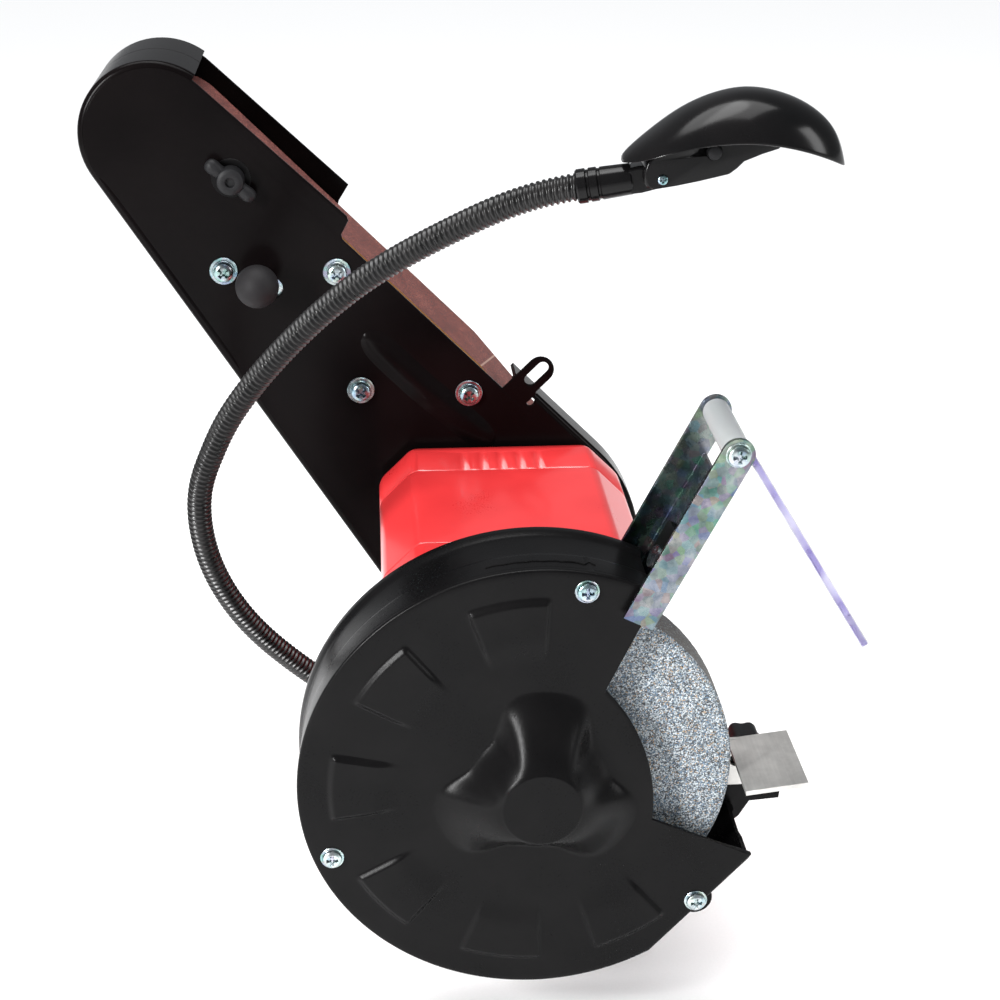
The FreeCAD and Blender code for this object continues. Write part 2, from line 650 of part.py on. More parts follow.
def arm_frame_parts():
    lean, about = size("arm_tilt"), Vector(0, 0, size("spindle_height"))
    left, sheet_metal, width = size("arm_left"), size("arm_sheet"), size("arm_width")
    spacers, bolts = [], []
    for along, up in ARM_BOLTS:
        tube = solid_rod(5, width - 2 * sheet_metal, (left + sheet_metal, along, up), (1, 0, 0))
        spacers.append(tube.cut(solid_rod(2.55, width, (left, along, up), (1, 0, 0))))
        bolt = solid_rod(2.5, width + 1.2, (left - 1.2, along, up), (1, 0, 0))
        bolt = bolt.fuse(solid_rod(6.2, 1.2, (left - 1.2, along, up), (1, 0, 0)))
        bolt = bolt.fuse(solid_rod(4.4, 3.4, (left - 4.6, along, up), (1, 0, 0)))
        bolts.append(bolt.fuse(solid_rod(4.6, 4, (left + width, along, up), (1, 0, 0))))
    grouped(spacers, "arm_spacers", lean, about)
    grouped(bolts, "arm_bolts", lean, about)
    ring = new_body("arm_retaining_ring")
    disc(ring, "motor_half_length + 7", "30", "1.3")
    bore(ring, "motor_half_length + 7", "spindle_radius + 1.5", "1.3")


def belt_path(offset):
    """The belt's closed line: drive wheel, platen, idler and the back run."""
    drive, idler = size("drive_radius") + offset, size("idler_radius") + offset
    centre = point(size("idler_along"), size("idler_up"))
    level = centre.y + idler
    edge = point(size("platen_start"), level)
    lift = math.degrees(math.atan2(edge.y, edge.x)) + math.degrees(math.acos(drive / edge.Length))
    tilt = math.degrees(math.atan2(centre.y, centre.x))
    tilt += math.degrees(math.asin((drive - idler) / centre.Length))
    back = tilt - 90
    drive_top, drive_low = polar(drive, lift), polar(drive, back)
    idler_low, idler_top = centre + polar(idler, back), centre + point(0, idler)
    return [Part.LineSegment(edge, drive_top), arc(drive_top, polar(drive, 180), drive_low),
            Part.LineSegment(drive_low, idler_low), arc(idler_low, centre + polar(idler, 0), idler_top),
            Part.LineSegment(idler_top, edge)]


def belt_group():
    belt = new_body("sanding_belt", size("arm_tilt"))
    clear = size("fit_gap")
    pad(belt, drawn_on_yz(belt, "belt_left", belt_path(clear + size("belt_thickness"))), "belt_width")
    pocket(belt, drawn_on_yz(belt, "belt_left", belt_path(clear)), "belt_width")
    under = size("idler_up") + size("idler_radius")
    platen = new_body("platen", size("arm_tilt"))
    start, end, thick = size("platen_start"), size("platen_end"), size("platen_sheet")
    outline = [point(start + 2, under - thick), point(start + 2, under), point(end, under),
               point(end, under - thick)]
    pad(platen, drawn_on_yz(platen, "arm_left + arm_sheet", closed(outline)), "arm_width - 2 * arm_sheet")
    drive = new_body("drive_wheel")
    disc(drive, "belt_left - 0.8", "drive_radius", "belt_width + 1.6")
    bore(drive, "belt_left - 0.8", "drive_radius - 6", "22")
    bore(drive, "belt_left + 30", "drive_radius - 6", "belt_width")
    disc(drive, "belt_left - 0.8", "14", "45.3")
    bore(drive, "belt_left - 0.8", "arbor_radius", "belt_width")


def tension_group():
    lean = size("arm_tilt")
    along, up = size("idler_along"), size("idler_up")
    idler = new_body("idler_wheel", lean)
    disc(idler, "belt_left - 0.8", "idler_radius", "belt_width + 1.6", along, up)
    bore(idler, "belt_left - 0.8", "4 + running_gap", "belt_width + 1.6", along, up)
    axle = new_body("idler_axle", lean)
    disc(axle, "arm_left + arm_sheet + 0.5", "4", "arm_width - 2 * arm_sheet - 1", along, up)
    carriage = new_body("tension_carriage", lean)
    outline = [point(185, 15), point(205, 15), point(218, 27), point(246, 27), point(246, 40), point(214, 40),
               point(203, 28), point(158, 28), point(158, 15)]
    pad(carriage, drawn_on_yz(carriage, "arm_left + arm_sheet + 0.4", closed(outline)), "2.4")
    bore(carriage, "arm_left + arm_sheet + 0.4", "4", "2.4", along, up)
    bolt_way = slot_outline(185, 12.7, 194, 12.7, 6.2)
    pocket(carriage, drawn_on_yz(carriage, "arm_left + arm_sheet + 0.4", bolt_way), "2.4")
    left = size("arm_left")
    stem = solid_rod(4, 20.4 + size("arm_sheet"), (left - 20, 173.3, 21.7), (1, 0, 0))
    made = doc.addObject("Part::Feature", "tension_knob")
    made.Shape = Part.makeSphere(9.5, Vector(left - 16, 173.3, 21.7)).fuse(stem)
    made.Placement = arm_place()
    keep(made, "tension_knob")
    turns = Part.makeHelix(2.4, 24, 3.2)
    wire = Part.Wire(turns.Edges)
    section = Part.Wire([Part.makeCircle(0.5, Vector(3.2, 0, 0), Vector(0, 1, 0))])
    coil = wire.makePipeShell([section], True, True)
    made = doc.addObject("Part::Feature", "tension_spring")
    made.Shape = coil
    made.Placement = arm_place().multiply(Placement(Vector(84, 130, 21.5), Rotation(Vector(1, 0, 0), -90)))
    keep(made, "tension_spring")
    wing = new_body("tracking_knob", lean)
    disc(wing, "arm_left - 9", "6", "8.7", 211.6, 46)
    disc(wing, "arm_left - 0.5", "3", "arm_sheet + 2", 211.6, 46)
    wings = slot_outline(211.6 - 9, 46 + 9, 211.6 + 9, 46 - 9, 2)
    pad(wing, drawn_on_yz(wing, "arm_left - 9", wings), "6")


# ===== work light ================================================================
NECK_LOWER = [(-14, 64, 66), (-14, 64, 84), (-21, 86, 106), (-29, 112, 134), (-36, 128, 168), (-42, 130, 202),
              (-46, 122, 221)]
NECK_UPPER = [(-46, 122, 221), (-50, 114, 240), (-58, 89, 272), (-68, 60, 300), (-79, 28, 320),
              (-89.4, 2.8, 334.5),
              (-92, -15.5, 337.8)]
NECK_END_WAY = (-2.6, -18.3, 3.3)


def tube(route, radius):
    """A round tube along straight runs joined by arcs tangent to both runs."""
    points = [Vector(*place) for place in route]
    edges, last = [], points[0]
    for before, corner, after in zip(points, points[1:], points[2:]):
        back, ahead = before - corner, after - corner
        reach = 0.45 * min(back.Length, ahead.Length)
        start = corner + back.normalize() * reach
        end = corner + ahead.normalize() * reach
        half = back.getAngle(ahead) / 2
        bend = reach * math.tan(half)
        centre = corner + (back + ahead).normalize() * (reach / math.cos(half))
        middle = centre + (corner - centre).normalize() * bend
        edges.append(Part.LineSegment(last, start).toShape())
        edges.append(Part.Arc(start, middle, end).toShape())
        last = end
    edges.append(Part.LineSegment(last, points[-1]).toShape())
    path = Part.Wire(edges)
    disc_wire = Part.Wire([Part.makeCircle(radius, points[0], points[1] - points[0])])
    made = path.makePipeShell([disc_wire], True, False)
    whole = math.pi * radius ** 2 * path.Length
    if abs(made.Volume - whole) > 0.01 * whole:
        raise ValueError("the tube's volume is wrong")
    return made


def work_light():
    box(("24", "26", "12"), ("0 - 26", "base_half_depth", "40"), "light_bracket")
    height = 66
    hexagonal = Part.Face(Part.makePolygon([Vector(-14 + 9 * math.cos(math.radians(60 * n)),
                                                   64 + 9 * math.sin(math.radians(60 * n)), 52)
                                            for n in range(7)]))
    ferrule = hexagonal.extrude(Vector(0, 0, 6)).fuse(solid_rod(6.4, height - 52, (-14, 64, 52), (0, 0, 1)))
    made = doc.addObject("Part::Feature", "neck_socket")
    made.Shape = ferrule
    keep(made, "neck_socket")
    radius = size("neck_tube_radius")
    pivot = Vector(*NECK_UPPER[0])
    ball = Part.makeSphere(radius, pivot)
    made = doc.addObject("Part::Feature", "gooseneck_lower")
    made.Shape = tube(NECK_LOWER, radius).fuse(ball)
    keep(made, "gooseneck_lower")
    upper = tube(NECK_UPPER, radius)
    way = (Vector(*NECK_UPPER[1]) - pivot).normalize()
    clear = Part.makeCylinder(radius + 2, 3.8, pivot, way)
    made = doc.addObject("Part::Feature", "gooseneck_upper")
    made.Shape = upper.cut(clear).cut(Part.makeSphere(radius + 0.3, pivot))
    keep(made, "gooseneck_upper")
    end = Vector(*NECK_UPPER[-1])
    way = Vector(*NECK_END_WAY).normalize()
    collar = Part.makeCylinder(5.6, 18.4, end, way)
    stub = Part.makeCylinder(3.4, 28, end, way)
    tongue = solid_rod(3.6, 6, (size("lamp_x") - 3, LAMP_PIVOT[0], LAMP_PIVOT[1]), (1, 0, 0))
    hole = solid_rod(1.65, 8, (size("lamp_x") - 4, LAMP_PIVOT[0], LAMP_PIVOT[1]), (1, 0, 0))
    made = doc.addObject("Part::Feature", "neck_collar")
    made.Shape = collar.fuse(stub).fuse(tongue).cut(hole)
    keep(made, "neck_collar")


LAMP_PIVOT = (-42.6, 342.6)


def lamp():
    """The head: an arched shell on a frame that holds the button, the LEDs and the lens."""
    x, arch_radius, led_y = size("lamp_x"), 61.6, -84
    outer = doc.addObject("Part::Ellipsoid", "shell_outer")
    inner = doc.addObject("Part::Ellipsoid", "shell_inner")
    for solid, inset in ((outer, 0), (inner, 1.8)):
        solid.Radius1 = 26.6 - inset
        solid.Radius2 = 22 - inset
        solid.Radius3 = 39 - inset
        solid.Angle1, solid.Angle2, solid.Angle3 = -90, 90, 360
        solid.Placement = Placement(Vector(x, -68.5, 346), Rotation())
    lower = box(("60", "90", "40"), ("lamp_x - 30", "0 - 115", "lamp_rim_z - 40"))
    arch = rod(str(arch_radius), "60", ("lamp_x - 30", "0 - 68.5", "300.9"))
    cut(outer, fused([inner, lower, arch]), "lamp_shell")
    body = Part.makeBox(15, 40, 9.5, Vector(x - 7.5, -79, 341))
    wall = Part.makeBox(15, 23.5, 8, Vector(x - 7.5, -73.5, 350))
    riser = Part.makeBox(10, 12, 11, Vector(x - 5, -73.8, 357.5))
    plate = solid_rod(11, 2, (x, led_y, 359), (0, 0, 1))
    fork = Part.makeBox(9, 13.4, 20, Vector(x - 4.5, -50, 335))
    arched_front = solid_rod(20, 15, (x - 7.5, -88, 337), (1, 0, 0))
    button_way = solid_rod(2.95, 4, (x - 7.5, -60, 352), (1, 0, 0))
    pin_way = solid_rod(1.65, 15, (x - 7.5, LAMP_PIVOT[0], LAMP_PIVOT[1]), (1, 0, 0))
    made = doc.addObject("Part::Feature", "lamp_frame")
    frame = body.fuse(wall).cut(arched_front).fuse(riser).fuse(plate)
    made.Shape = frame.cut(fork).cut(button_way).cut(pin_way).removeSplitter()
    keep(made, "lamp_frame")
    rod("1.6", "15", ("lamp_x - 7.5", "0 - 42.6", "342.6"), "x", "lamp_pivot_pin")
    rod("2.6", "4", ("lamp_x - 9.5", "0 - 60", "352"), "x", "lamp_button")
    rod("9.5", "1.2", ("lamp_x", "0 - 84", "357.7"), "z", "led_board")
    rod("10", "2", ("lamp_x", "0 - 84", "355.4"), "z", "lamp_lens")


base_housing()
base_plate()
rubber_feet()
switch_group()
electrics()
motor_shell()
end_bells()
motor_inside()
spindle_group()
nuts()
guard_body()
guard_cover()
guard_screws()
tool_rest()
shield_bracket()
eye_shield()
arm_plates()
arm_frame_parts()
belt_group()
tension_group()
work_light()
lamp()

doc.recompute()
for item in doc.Objects:
    if "Invalid" in item.State or "Error" in item.State:
        raise ValueError("failed: " + item.Label)
os.makedirs("parts", exist_ok=True)
for part in PARTS:
    shape = part.Shape
    if shape.isNull() or not shape.isValid() or shape.Volume <= 0:
        raise ValueError("bad shape: " + part.Label)
    shape.exportStep("parts/" + part.Label + ".step")
print(len(PARTS), "nodes written")
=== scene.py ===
import bmesh
import bpy
import math
from mathutils import Matrix, Vector, noise


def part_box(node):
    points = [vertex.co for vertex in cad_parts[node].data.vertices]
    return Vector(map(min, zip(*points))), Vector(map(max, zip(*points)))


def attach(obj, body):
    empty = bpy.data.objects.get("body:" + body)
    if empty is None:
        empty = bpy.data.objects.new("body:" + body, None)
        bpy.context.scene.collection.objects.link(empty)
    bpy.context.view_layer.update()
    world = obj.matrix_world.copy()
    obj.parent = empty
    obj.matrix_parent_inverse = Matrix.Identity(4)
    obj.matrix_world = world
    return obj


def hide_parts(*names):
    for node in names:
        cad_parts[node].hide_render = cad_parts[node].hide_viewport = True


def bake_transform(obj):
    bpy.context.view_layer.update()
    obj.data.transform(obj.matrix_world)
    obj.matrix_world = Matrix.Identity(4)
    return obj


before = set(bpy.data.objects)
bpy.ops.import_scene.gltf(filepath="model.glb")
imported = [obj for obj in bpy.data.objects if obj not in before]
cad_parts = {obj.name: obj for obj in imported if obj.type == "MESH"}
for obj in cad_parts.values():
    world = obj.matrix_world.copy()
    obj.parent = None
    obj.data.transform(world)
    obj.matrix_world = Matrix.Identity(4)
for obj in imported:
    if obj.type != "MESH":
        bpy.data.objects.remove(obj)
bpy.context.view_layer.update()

MM = 0.001

# ===== studio =====================================================================
# Soft light from a large box overhead, a narrow one behind the wheel's end, a fill
# at the operator's side and pale daylight. The camera looks in over the wheel's end.
scene = bpy.context.scene
scene.view_settings.view_transform = "Standard"
CAMERA_PLACE = Vector((-0.711, 0.0605, 0.4936))
CAMERA_TURN, CAMERA_DOWN, CAMERA_ROLL = -0.078504, 0.416712, 0.0069
ahead = Vector((math.cos(CAMERA_TURN) * math.cos(CAMERA_DOWN),
                math.sin(CAMERA_TURN) * math.cos(CAMERA_DOWN), -math.sin(CAMERA_DOWN)))
right = ahead.cross(Vector((0, 0, 1))).normalized()
above = right.cross(ahead)
camera = bpy.data.objects.new("camera", bpy.data.cameras.new("camera"))
camera.data.lens = 65.23
camera.data.clip_start = 0.01
side = right * math.cos(CAMERA_ROLL) + above * math.sin(CAMERA_ROLL)
top = above * math.cos(CAMERA_ROLL) - right * math.sin(CAMERA_ROLL)
camera.matrix_world = Matrix.Translation(CAMERA_PLACE) @ Matrix((side, top, -ahead)).transposed().to_4x4()
scene.collection.objects.link(camera)
scene.camera = camera


def soft_box(name, place, aim, size, watts):
    lamp = bpy.data.lights.new(name, "AREA")
    lamp.shape = "RECTANGLE"
    lamp.size, lamp.size_y = size
    lamp.energy = watts
    made = bpy.data.objects.new(name, lamp)
    made.location = place
    made.rotation_euler = (Vector(aim) - Vector(place)).to_track_quat("-Z", "Y").to_euler()
    made.visible_camera = False
    scene.collection.objects.link(made)


soft_box("overhead_box", (-0.1, -0.15, 1.5), (0, 0, 0.1), (0.8, 0.8), 11)
soft_box("strip_box", (-0.75, 0.85, 0.6), (-0.1, 0, 0.15), (0.12, 0.5), 20)
soft_box("operator_box", (-0.45, -1.2, 0.75), (-0.05, 0, 0.15), (0.3, 0.7), 6)
daylight = bpy.data.objects.new("window_light", bpy.data.lights.new("window_light", "SUN"))
daylight.data.energy, daylight.data.angle = 2.3, math.radians(40)
daylight.rotation_euler = (math.radians(-12), math.radians(8), 0)
scene.collection.objects.link(daylight)
scene.world = bpy.data.worlds.new("studio")
scene.world.use_nodes = True
scene.world.node_tree.nodes["Background"].inputs["Color"].default_value = (0.93, 0.96, 1, 1)
scene.world.node_tree.nodes["Background"].inputs["Strength"].default_value = 0.3

# ===== floor ======================================================================
# A wide sheet of matt white paper that the grinder stands on. Its fibres show
# only as a faint mottle.
FLOOR_REACH = 9000


class Value:
    """One socket of a finish. Sums on it become Math nodes."""

    def __init__(self, finish, socket):
        self.finish, self.socket = finish, socket

    def math(self, operation, *terms):
        return self.finish.node("Math", {"operation": operation}, dict(enumerate(terms)))

    def __add__(self, other):
        return self.math("ADD", self, other)

    def __mul__(self, other):
        return self.math("MULTIPLY", self, other)

    def __sub__(self, other):
        return self.math("SUBTRACT", self, other)

    def __rsub__(self, other):
        return self.math("SUBTRACT", other, self)

    def over(self, edge, soft):
        """0 below edge and 1 above edge + soft, with a smooth step between."""
        return self.finish.node("MapRange", {"interpolation_type": "SMOOTHSTEP"},
                                {0: self, 1: edge, 2: edge + soft, 3: 0.0, 4: 1.0})

    def size(self):
        return self.math("ABSOLUTE", self)

    __radd__ = __add__
    __rmul__ = __mul__


class Finish:
    """A material in the making, for one of the record's slots."""

    def __init__(self, slot, name=None):
        self.slot = slot
        self.material = bpy.data.materials.new(name or slot)
        self.material.use_nodes = True
        self.tree = self.material.node_tree
        self.tree.nodes.clear()
        self.place = self.node("TexCoord", output="Object")

    def node(self, kind, settings=None, values=None, output=0):
        made = self.tree.nodes.new("ShaderNode" + kind)
        for key, setting in (settings or {}).items():
            if key == "stops":
                ramp = made.color_ramp
                for stop in setting[2:]:
                    ramp.elements.new(stop[0])
                for element, stop in zip(ramp.elements, sorted(setting)):
                    element.position, element.color = stop[0], (*stop[1], 1)
            else:
                setattr(made, key, setting)
        for key, value in (values or {}).items():
            if isinstance(value, Value):
                self.tree.links.new(value.socket, made.inputs[key])
            elif isinstance(value, tuple) and made.inputs[key].type == "RGBA" and len(value) == 3:
                made.inputs[key].default_value = (*value, 1)
            else:
                made.inputs[key].default_value = value
        return Value(self, made.outputs[output]) if len(made.outputs) else None

    def cloud(self, grain, detail=2.0, rough=0.5, stretch=None):
        """Noise whose features are about one grain, in millimetres, across."""
        place = self.place
        if stretch:
            place = self.node("VectorMath", {"operation": "MULTIPLY"}, {0: place, 1: stretch})
        return self.node("TexNoise", None, {"Vector": place, "Scale": 1000 / grain, "Detail": detail,
                                            "Roughness": rough})

    def cells(self, grain, output="Distance"):
        """Cells about one grain, in millimetres, across."""
        return self.node("TexVoronoi", None, {"Vector": self.place, "Scale": 1000 / grain}, output)

    def ramp(self, factor, *stops):
        return self.node("ValToRGB", {"stops": stops}, {0: factor})

    def blend(self, factor, below, over):
        return self.node("Mix", {"data_type": "RGBA"}, {0: factor, 6: below, 7: over}, output=2)

    def relief(self, height, depth, strength=1.0):
        """A bump whose full height is depth millimetres."""
        return self.node("Bump", None, {"Height": height, "Distance": depth * MM, "Strength": strength})

    def axis(self, name):
        """One coordinate of the place on the piece, in millimetres."""
        return self.node("SeparateXYZ", None, {0: self.place}, name) * 1000

    def lies_flat(self, name):
        """How squarely the surface faces along an axis, from 0 to 1."""
        return self.node("SeparateXYZ", None, {0: self.node("NewGeometry", output="Normal")}, name).size()

    def done(self, **sockets):
        surface = self.node("BsdfPrincipled", None, {key.replace("_", " "): value
                                                     for key, value in sockets.items()})
        self.node("OutputMaterial", None, {0: surface})
        return self


def floor_paper():
    finish = Finish("paper", "floor_paper")
    fibre = finish.cloud(1.2, 3.0)
    finish.done(Base_Color=finish.ramp(fibre, (0.3, (0.93, 0.93, 0.93)), (0.7, (0.96, 0.96, 0.96))),
                Roughness=0.75 + fibre * 0.1, Normal=finish.relief(fibre, 0.01, 0.4))
    return finish


def piece(name, shape, finish, body, nodes=(), place=Matrix(), sharp=32, bevel=0.0):
    """A mesh from (points, faces) in millimetres, riding on a body for its CAD nodes."""
    points, faces = shape
    mesh = bpy.data.meshes.new(name)
    mesh.from_pydata([(place @ Vector(point)) * MM for point in points], [], faces)
    shell = bmesh.new()
    shell.from_mesh(mesh)
    bmesh.ops.remove_doubles(shell, verts=shell.verts, dist=2e-6)
    bmesh.ops.dissolve_degenerate(shell, edges=shell.edges, dist=1e-7)
    bmesh.ops.recalc_face_normals(shell, faces=shell.faces)
    shell.to_mesh(mesh)
    shell.free()
    mesh.shade_smooth()
    mesh.set_sharp_from_angle(angle=math.radians(sharp))
    mesh.materials.append(finish.material)
    made = bpy.data.objects.new(name, mesh)
    scene.collection.objects.link(made)
    if bevel:
        edge = made.modifiers.new("softened_edge", "BEVEL")
        edge.width, edge.segments, edge.limit_method = bevel * MM, 2, "ANGLE"
        edge.angle_limit = math.radians(sharp)
        edge.harden_normals = True
    if len(faces) > 1:
        made.modifiers.new("flat_faces", "WEIGHTED_NORMAL").keep_sharp = True
    if nodes:
        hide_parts(*nodes)
    if body:
        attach(made, body)
    return made


floor_corners = [(-FLOOR_REACH, -FLOOR_REACH, 0), (FLOOR_REACH, -FLOOR_REACH, 0),
                 (FLOOR_REACH, FLOOR_REACH, 0), (-FLOOR_REACH, FLOOR_REACH, 0)]
floor = piece("floor", (floor_corners, [[0, 1, 2, 3]]), floor_paper(), None)

# ===== base =======================================================================
# A pressed steel box with its foot flange turned out, closed below by a plate on
# four rubber feet. The switch, run capacitor and cord gland sit in it.
FLOOR_LINE, DECK = 8.0, 9.5
levels = [(DECK, 76, 54, 9), (DECK + 2, 76, 54, 9), (DECK + 2.4, 62, 51.6, 8),
          (DECK + 4.2, 58.8, 48.9, 7.4), (DECK + 8, 58, 48, 7), (58, 57.6, 47.8, 7),
          (61.6, 56.9, 47.2, 6.6), (63.1, 55, 45.5, 5.6), (63.5, 52, 43, 4)]


def satin_black():
    """Stoved black enamel: a fine orange peel with dust nibs under a clear skin."""
    finish = Finish("black_paint")
    peel = finish.cloud(1.1, 3.0, 0.6)
    nibs = finish.cells(5.5).over(0.05, 0.05)
    patch = finish.cloud(26, 3.0)
    finish.done(Base_Color=finish.ramp(patch, (0.3, (0.0024, 0.0023, 0.0025)),
                                       (0.7, (0.0045, 0.0042, 0.0044))),
                Roughness=patch * 0.1 + 0.2 + peel * 0.08, Specular_IOR_Level=0.09,
                Normal=finish.relief(peel + nibs * 0.6, 0.04, 0.85))
    return finish


def round_slab(centre, half, corner, steps=8):
    """A rounded rectangle's outline, anticlockwise from its right side."""
    outline = []
    for turn, (way_a, way_b) in enumerate(((1, 1), (-1, 1), (-1, -1), (1, -1))):
        for step in range(steps + 1):
            angle = math.radians(90 * turn + 90 * step / steps)
            outline.append((centre[0] + way_a * (half[0] - corner) + corner * math.cos(angle),
                            centre[1] + way_b * (half[1] - corner) + corner * math.sin(angle)))
    return outline


def skinned(rings, capped=True, closed=False):
    """Faces between rings of equal count; capped fills the two ends."""
    count = len(rings[0])
    points = [point for ring in rings for point in ring]
    faces = []
    for row in range(len(rings) if closed else len(rings) - 1):
        low, high = row * count, (row + 1) % len(rings) * count
        for step in range(count):
            after = (step + 1) % count
            faces.append([low + step, low + after, high + after, high + step])
    if capped and not closed:
        faces += [list(range(count))[::-1], list(range(len(points) - count, len(points)))]
    return points, faces


BLACK = satin_black()
housing = skinned([[(x, y, level) for x, y in round_slab((0, 0), (across, deep), corner)]
                   for level, across, deep, corner in levels])
piece("base_box", housing, BLACK, "base", ["base_housing"], sharp=40)


def bright_zinc(name="bright_zinc", slot="zinc", tone=1.0):
    """Passivated zinc plate: faint blue and straw blotches, drawing lines and nicks."""
    finish = Finish(slot, name)
    blotch = finish.cloud(9, 4.0, 0.65)
    spangle = finish.cells(3.2, "Color")
    lines = finish.cloud(1.0, 3.0, 0.6, (0.05, 1, 1))
    tinted = finish.ramp(blotch, (0.34, (0.12 * tone, 0.17 * tone, 0.2 * tone)),
                         (0.66, (0.55 * tone, 0.6 * tone, 0.6 * tone)),
                         (0.5, (0.27 * tone, 0.36 * tone, 0.38 * tone)))
    finish.done(Base_Color=finish.blend(0.08, tinted, spangle), Metallic=1.0,
                Roughness=blotch * 0.25 + 0.1 + lines * 0.08,
                Normal=finish.relief(lines * 0.5 + blotch, 0.03, 0.5))
    return finish


ZINC = bright_zinc()
plate_rings = [[(x, y, level) for x, y in round_slab((0, 0), (75.6 - inset, 53.6 - inset), 9)]
               for level, inset in ((FLOOR_LINE, 0.6), (FLOOR_LINE + 0.3, 0), (DECK, 0))]
piece("base_floor_plate", skinned(plate_rings), ZINC, "base", ["base_plate"])


def moulded(name, slot, colour, rough, grain=0.45, depth=0.02):
    """Moulded plastic or rubber with a spark-eroded grain."""
    finish = Finish(slot, name)
    skin = finish.cloud(grain, 2.0, 0.6)
    patch = finish.cloud(18, 2.0)
    low = tuple(0.8 * part for part in colour)
    finish.done(Base_Color=finish.ramp(patch, (0.3, low), (0.75, colour)), Roughness=patch * 0.1 + rough,
                Specular_IOR_Level=0.16, Normal=finish.relief(skin, depth, 0.7))
    return finish


def turned(profile, centre=(0, 0), steps=96, hollow=False):
    """A lathe shape about a line along X: (x, radius) pairs, from end to end."""
    rings = [[(x, centre[0] + radius * math.cos(math.tau * step / steps),
               centre[1] + radius * math.sin(math.tau * step / steps)) for step in range(steps)]
             for x, radius in profile]
    return skinned(rings, capped=not hollow, closed=hollow)


def upright(shape, x=0, y=0, z=0):
    """A shape turned along X is stood up, its -X end pointing down."""
    return [(x + up, y + along, z + far) for far, along, up in shape[0]], shape[1]


def joined(*shapes):
    points, faces = [], []
    for more, parts in shapes:
        start = len(points)
        points += [Vector(point) for point in more]
        faces += [[start + corner for corner in part] for part in parts]
    return points, faces


RUBBER = moulded("rubber", "rubber", (0.012, 0.012, 0.012), 0.62)
FOOT = [(0.0, 4), (0.0, 8.2), (0.5, 9.3), (1.6, 10), (6.2, 10.8), (7.4, 10.7), (8.0, 10.2), (8.0, 4)]
feet = [upright(turned(FOOT, steps=48, hollow=True), x, y) for x in (-66, 66) for y in (-44, 44)]
piece("feet", joined(*feet), RUBBER, "base", ["rubber_feet"])

BLACK_PLASTIC = moulded("black_plastic", "black_plastic", (0.011, 0.011, 0.012), 0.42)
SWITCH_MIDDLE, SWITCH_FACE = 37, -51
frame_rings = [[(x, y, z) for x, z in round_slab((0, SWITCH_MIDDLE), (24 - inset, 16 - inset),
                                                 4 - inset / 2)]
               for y, inset in ((SWITCH_FACE + 3, 0), (SWITCH_FACE + 0.8, 0), (SWITCH_FACE, 0.9),
                                (SWITCH_FACE, 2.4), (SWITCH_FACE + 0.7, 3))]
piece("switch_frame", skinned(frame_rings), BLACK_PLASTIC, "base", ["switch_plate"])


def toward_operator(shape, x, z):
    """A shape turned along X is faced to the front, its -X end pointing to -Y."""
    return [(x + along, far, z + up) for far, along, up in shape[0]], shape[1]


CAP = [(-45, 7.9), (-52.8, 7.9), (-54.4, 7.4), (-55, 6.2), (-54.7, 4), (-54.5, 0.2)]
GREEN = moulded("green_plastic", "green_plastic", (0.012, 0.21, 0.045), 0.34)
RED_PLASTIC = moulded("red_plastic", "red_plastic", (0.42, 0.012, 0.012), 0.34)
for name, body, across, plastic in (("start_button", "start_button_body", 11, GREEN),
                                    ("stop_button", "stop_button_body", -11, RED_PLASTIC)):
    piece(name + "_cap", toward_operator(turned(CAP, steps=64), across, SWITCH_MIDDLE), plastic, body,
          [name])
gland = [(58, 4.3), (58, 6.2), (57.3, 6.9), (54.2, 7), (54, 9.2), (53.4, 9.9), (48.6, 10), (48, 9.4),
         (42, 7), (42, 4.3)]
piece("cord_grip", toward_operator(turned(gland, steps=12, hollow=True), 34, 32), BLACK_PLASTIC, "base",
      ["cord_gland"])


def refinish(finish, *names):
    """A CAD node keeps its shape and takes this finish."""
    for name in names:
        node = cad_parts[name]
        node.data.materials.clear()
        node.data.materials.append(finish.material)


refinish(BLACK_PLASTIC, "switch_body")
refinish(moulded("pale_plastic", "pale_plastic", (0.55, 0.55, 0.52), 0.4), "run_capacitor")

# ===== motor ======================================================================
# Two cast end bells clamp a pressed shell with four long bolts. All three are
# dipped in red gloss; the far bell has a row of air scallops in its top edge.
MOTOR_DEEP, MOTOR_TALL, MOTOR_BEVEL, MIDDLE = 56, 56.5, 15, 120


def red_gloss():
    finish = Finish("red_paint")
    peel = finish.cloud(3.4, 2.0)
    fine = finish.cloud(0.7, 2.0)
    patch = finish.cloud(34, 3.0)
    finish.done(Base_Color=finish.ramp(patch, (0.3, (0.5, 0.022, 0.024)), (0.72, (0.58, 0.03, 0.032))),
                Roughness=patch * 0.1 + 0.22 + fine * 0.05, Coat_Weight=0.35, Coat_Roughness=0.12,
                Normal=finish.relief(peel + fine * 0.2, 0.03, 0.5))
    return finish


RED = red_gloss()


def motor_ring(x, inset, rounding=3.0, steps=5):
    """The motor's bevelled square at one station along X, with its corners eased."""
    deep, tall, bevel = MOTOR_DEEP - inset, MOTOR_TALL - inset, MOTOR_BEVEL - inset * 0.4
    corners = [(deep, tall - bevel), (deep - bevel, tall), (-deep + bevel, tall), (-deep, tall - bevel),
               (-deep, -tall + bevel), (-deep + bevel, -tall), (deep - bevel, -tall), (deep, -tall + bevel)]
    ring = []
    for index, corner in enumerate(corners):
        here = Vector(corner)
        before, after = Vector(corners[index - 1]), Vector(corners[(index + 1) % 8])
        start = here + (before - here).normalized() * rounding
        end = here + (after - here).normalized() * rounding
        for step in range(steps + 1):
            share = step / steps
            spot = start * (1 - share) ** 2 + here * 2 * share * (1 - share) + end * share ** 2
            ring.append((x, spot.x, MIDDLE + spot.y))
    return ring


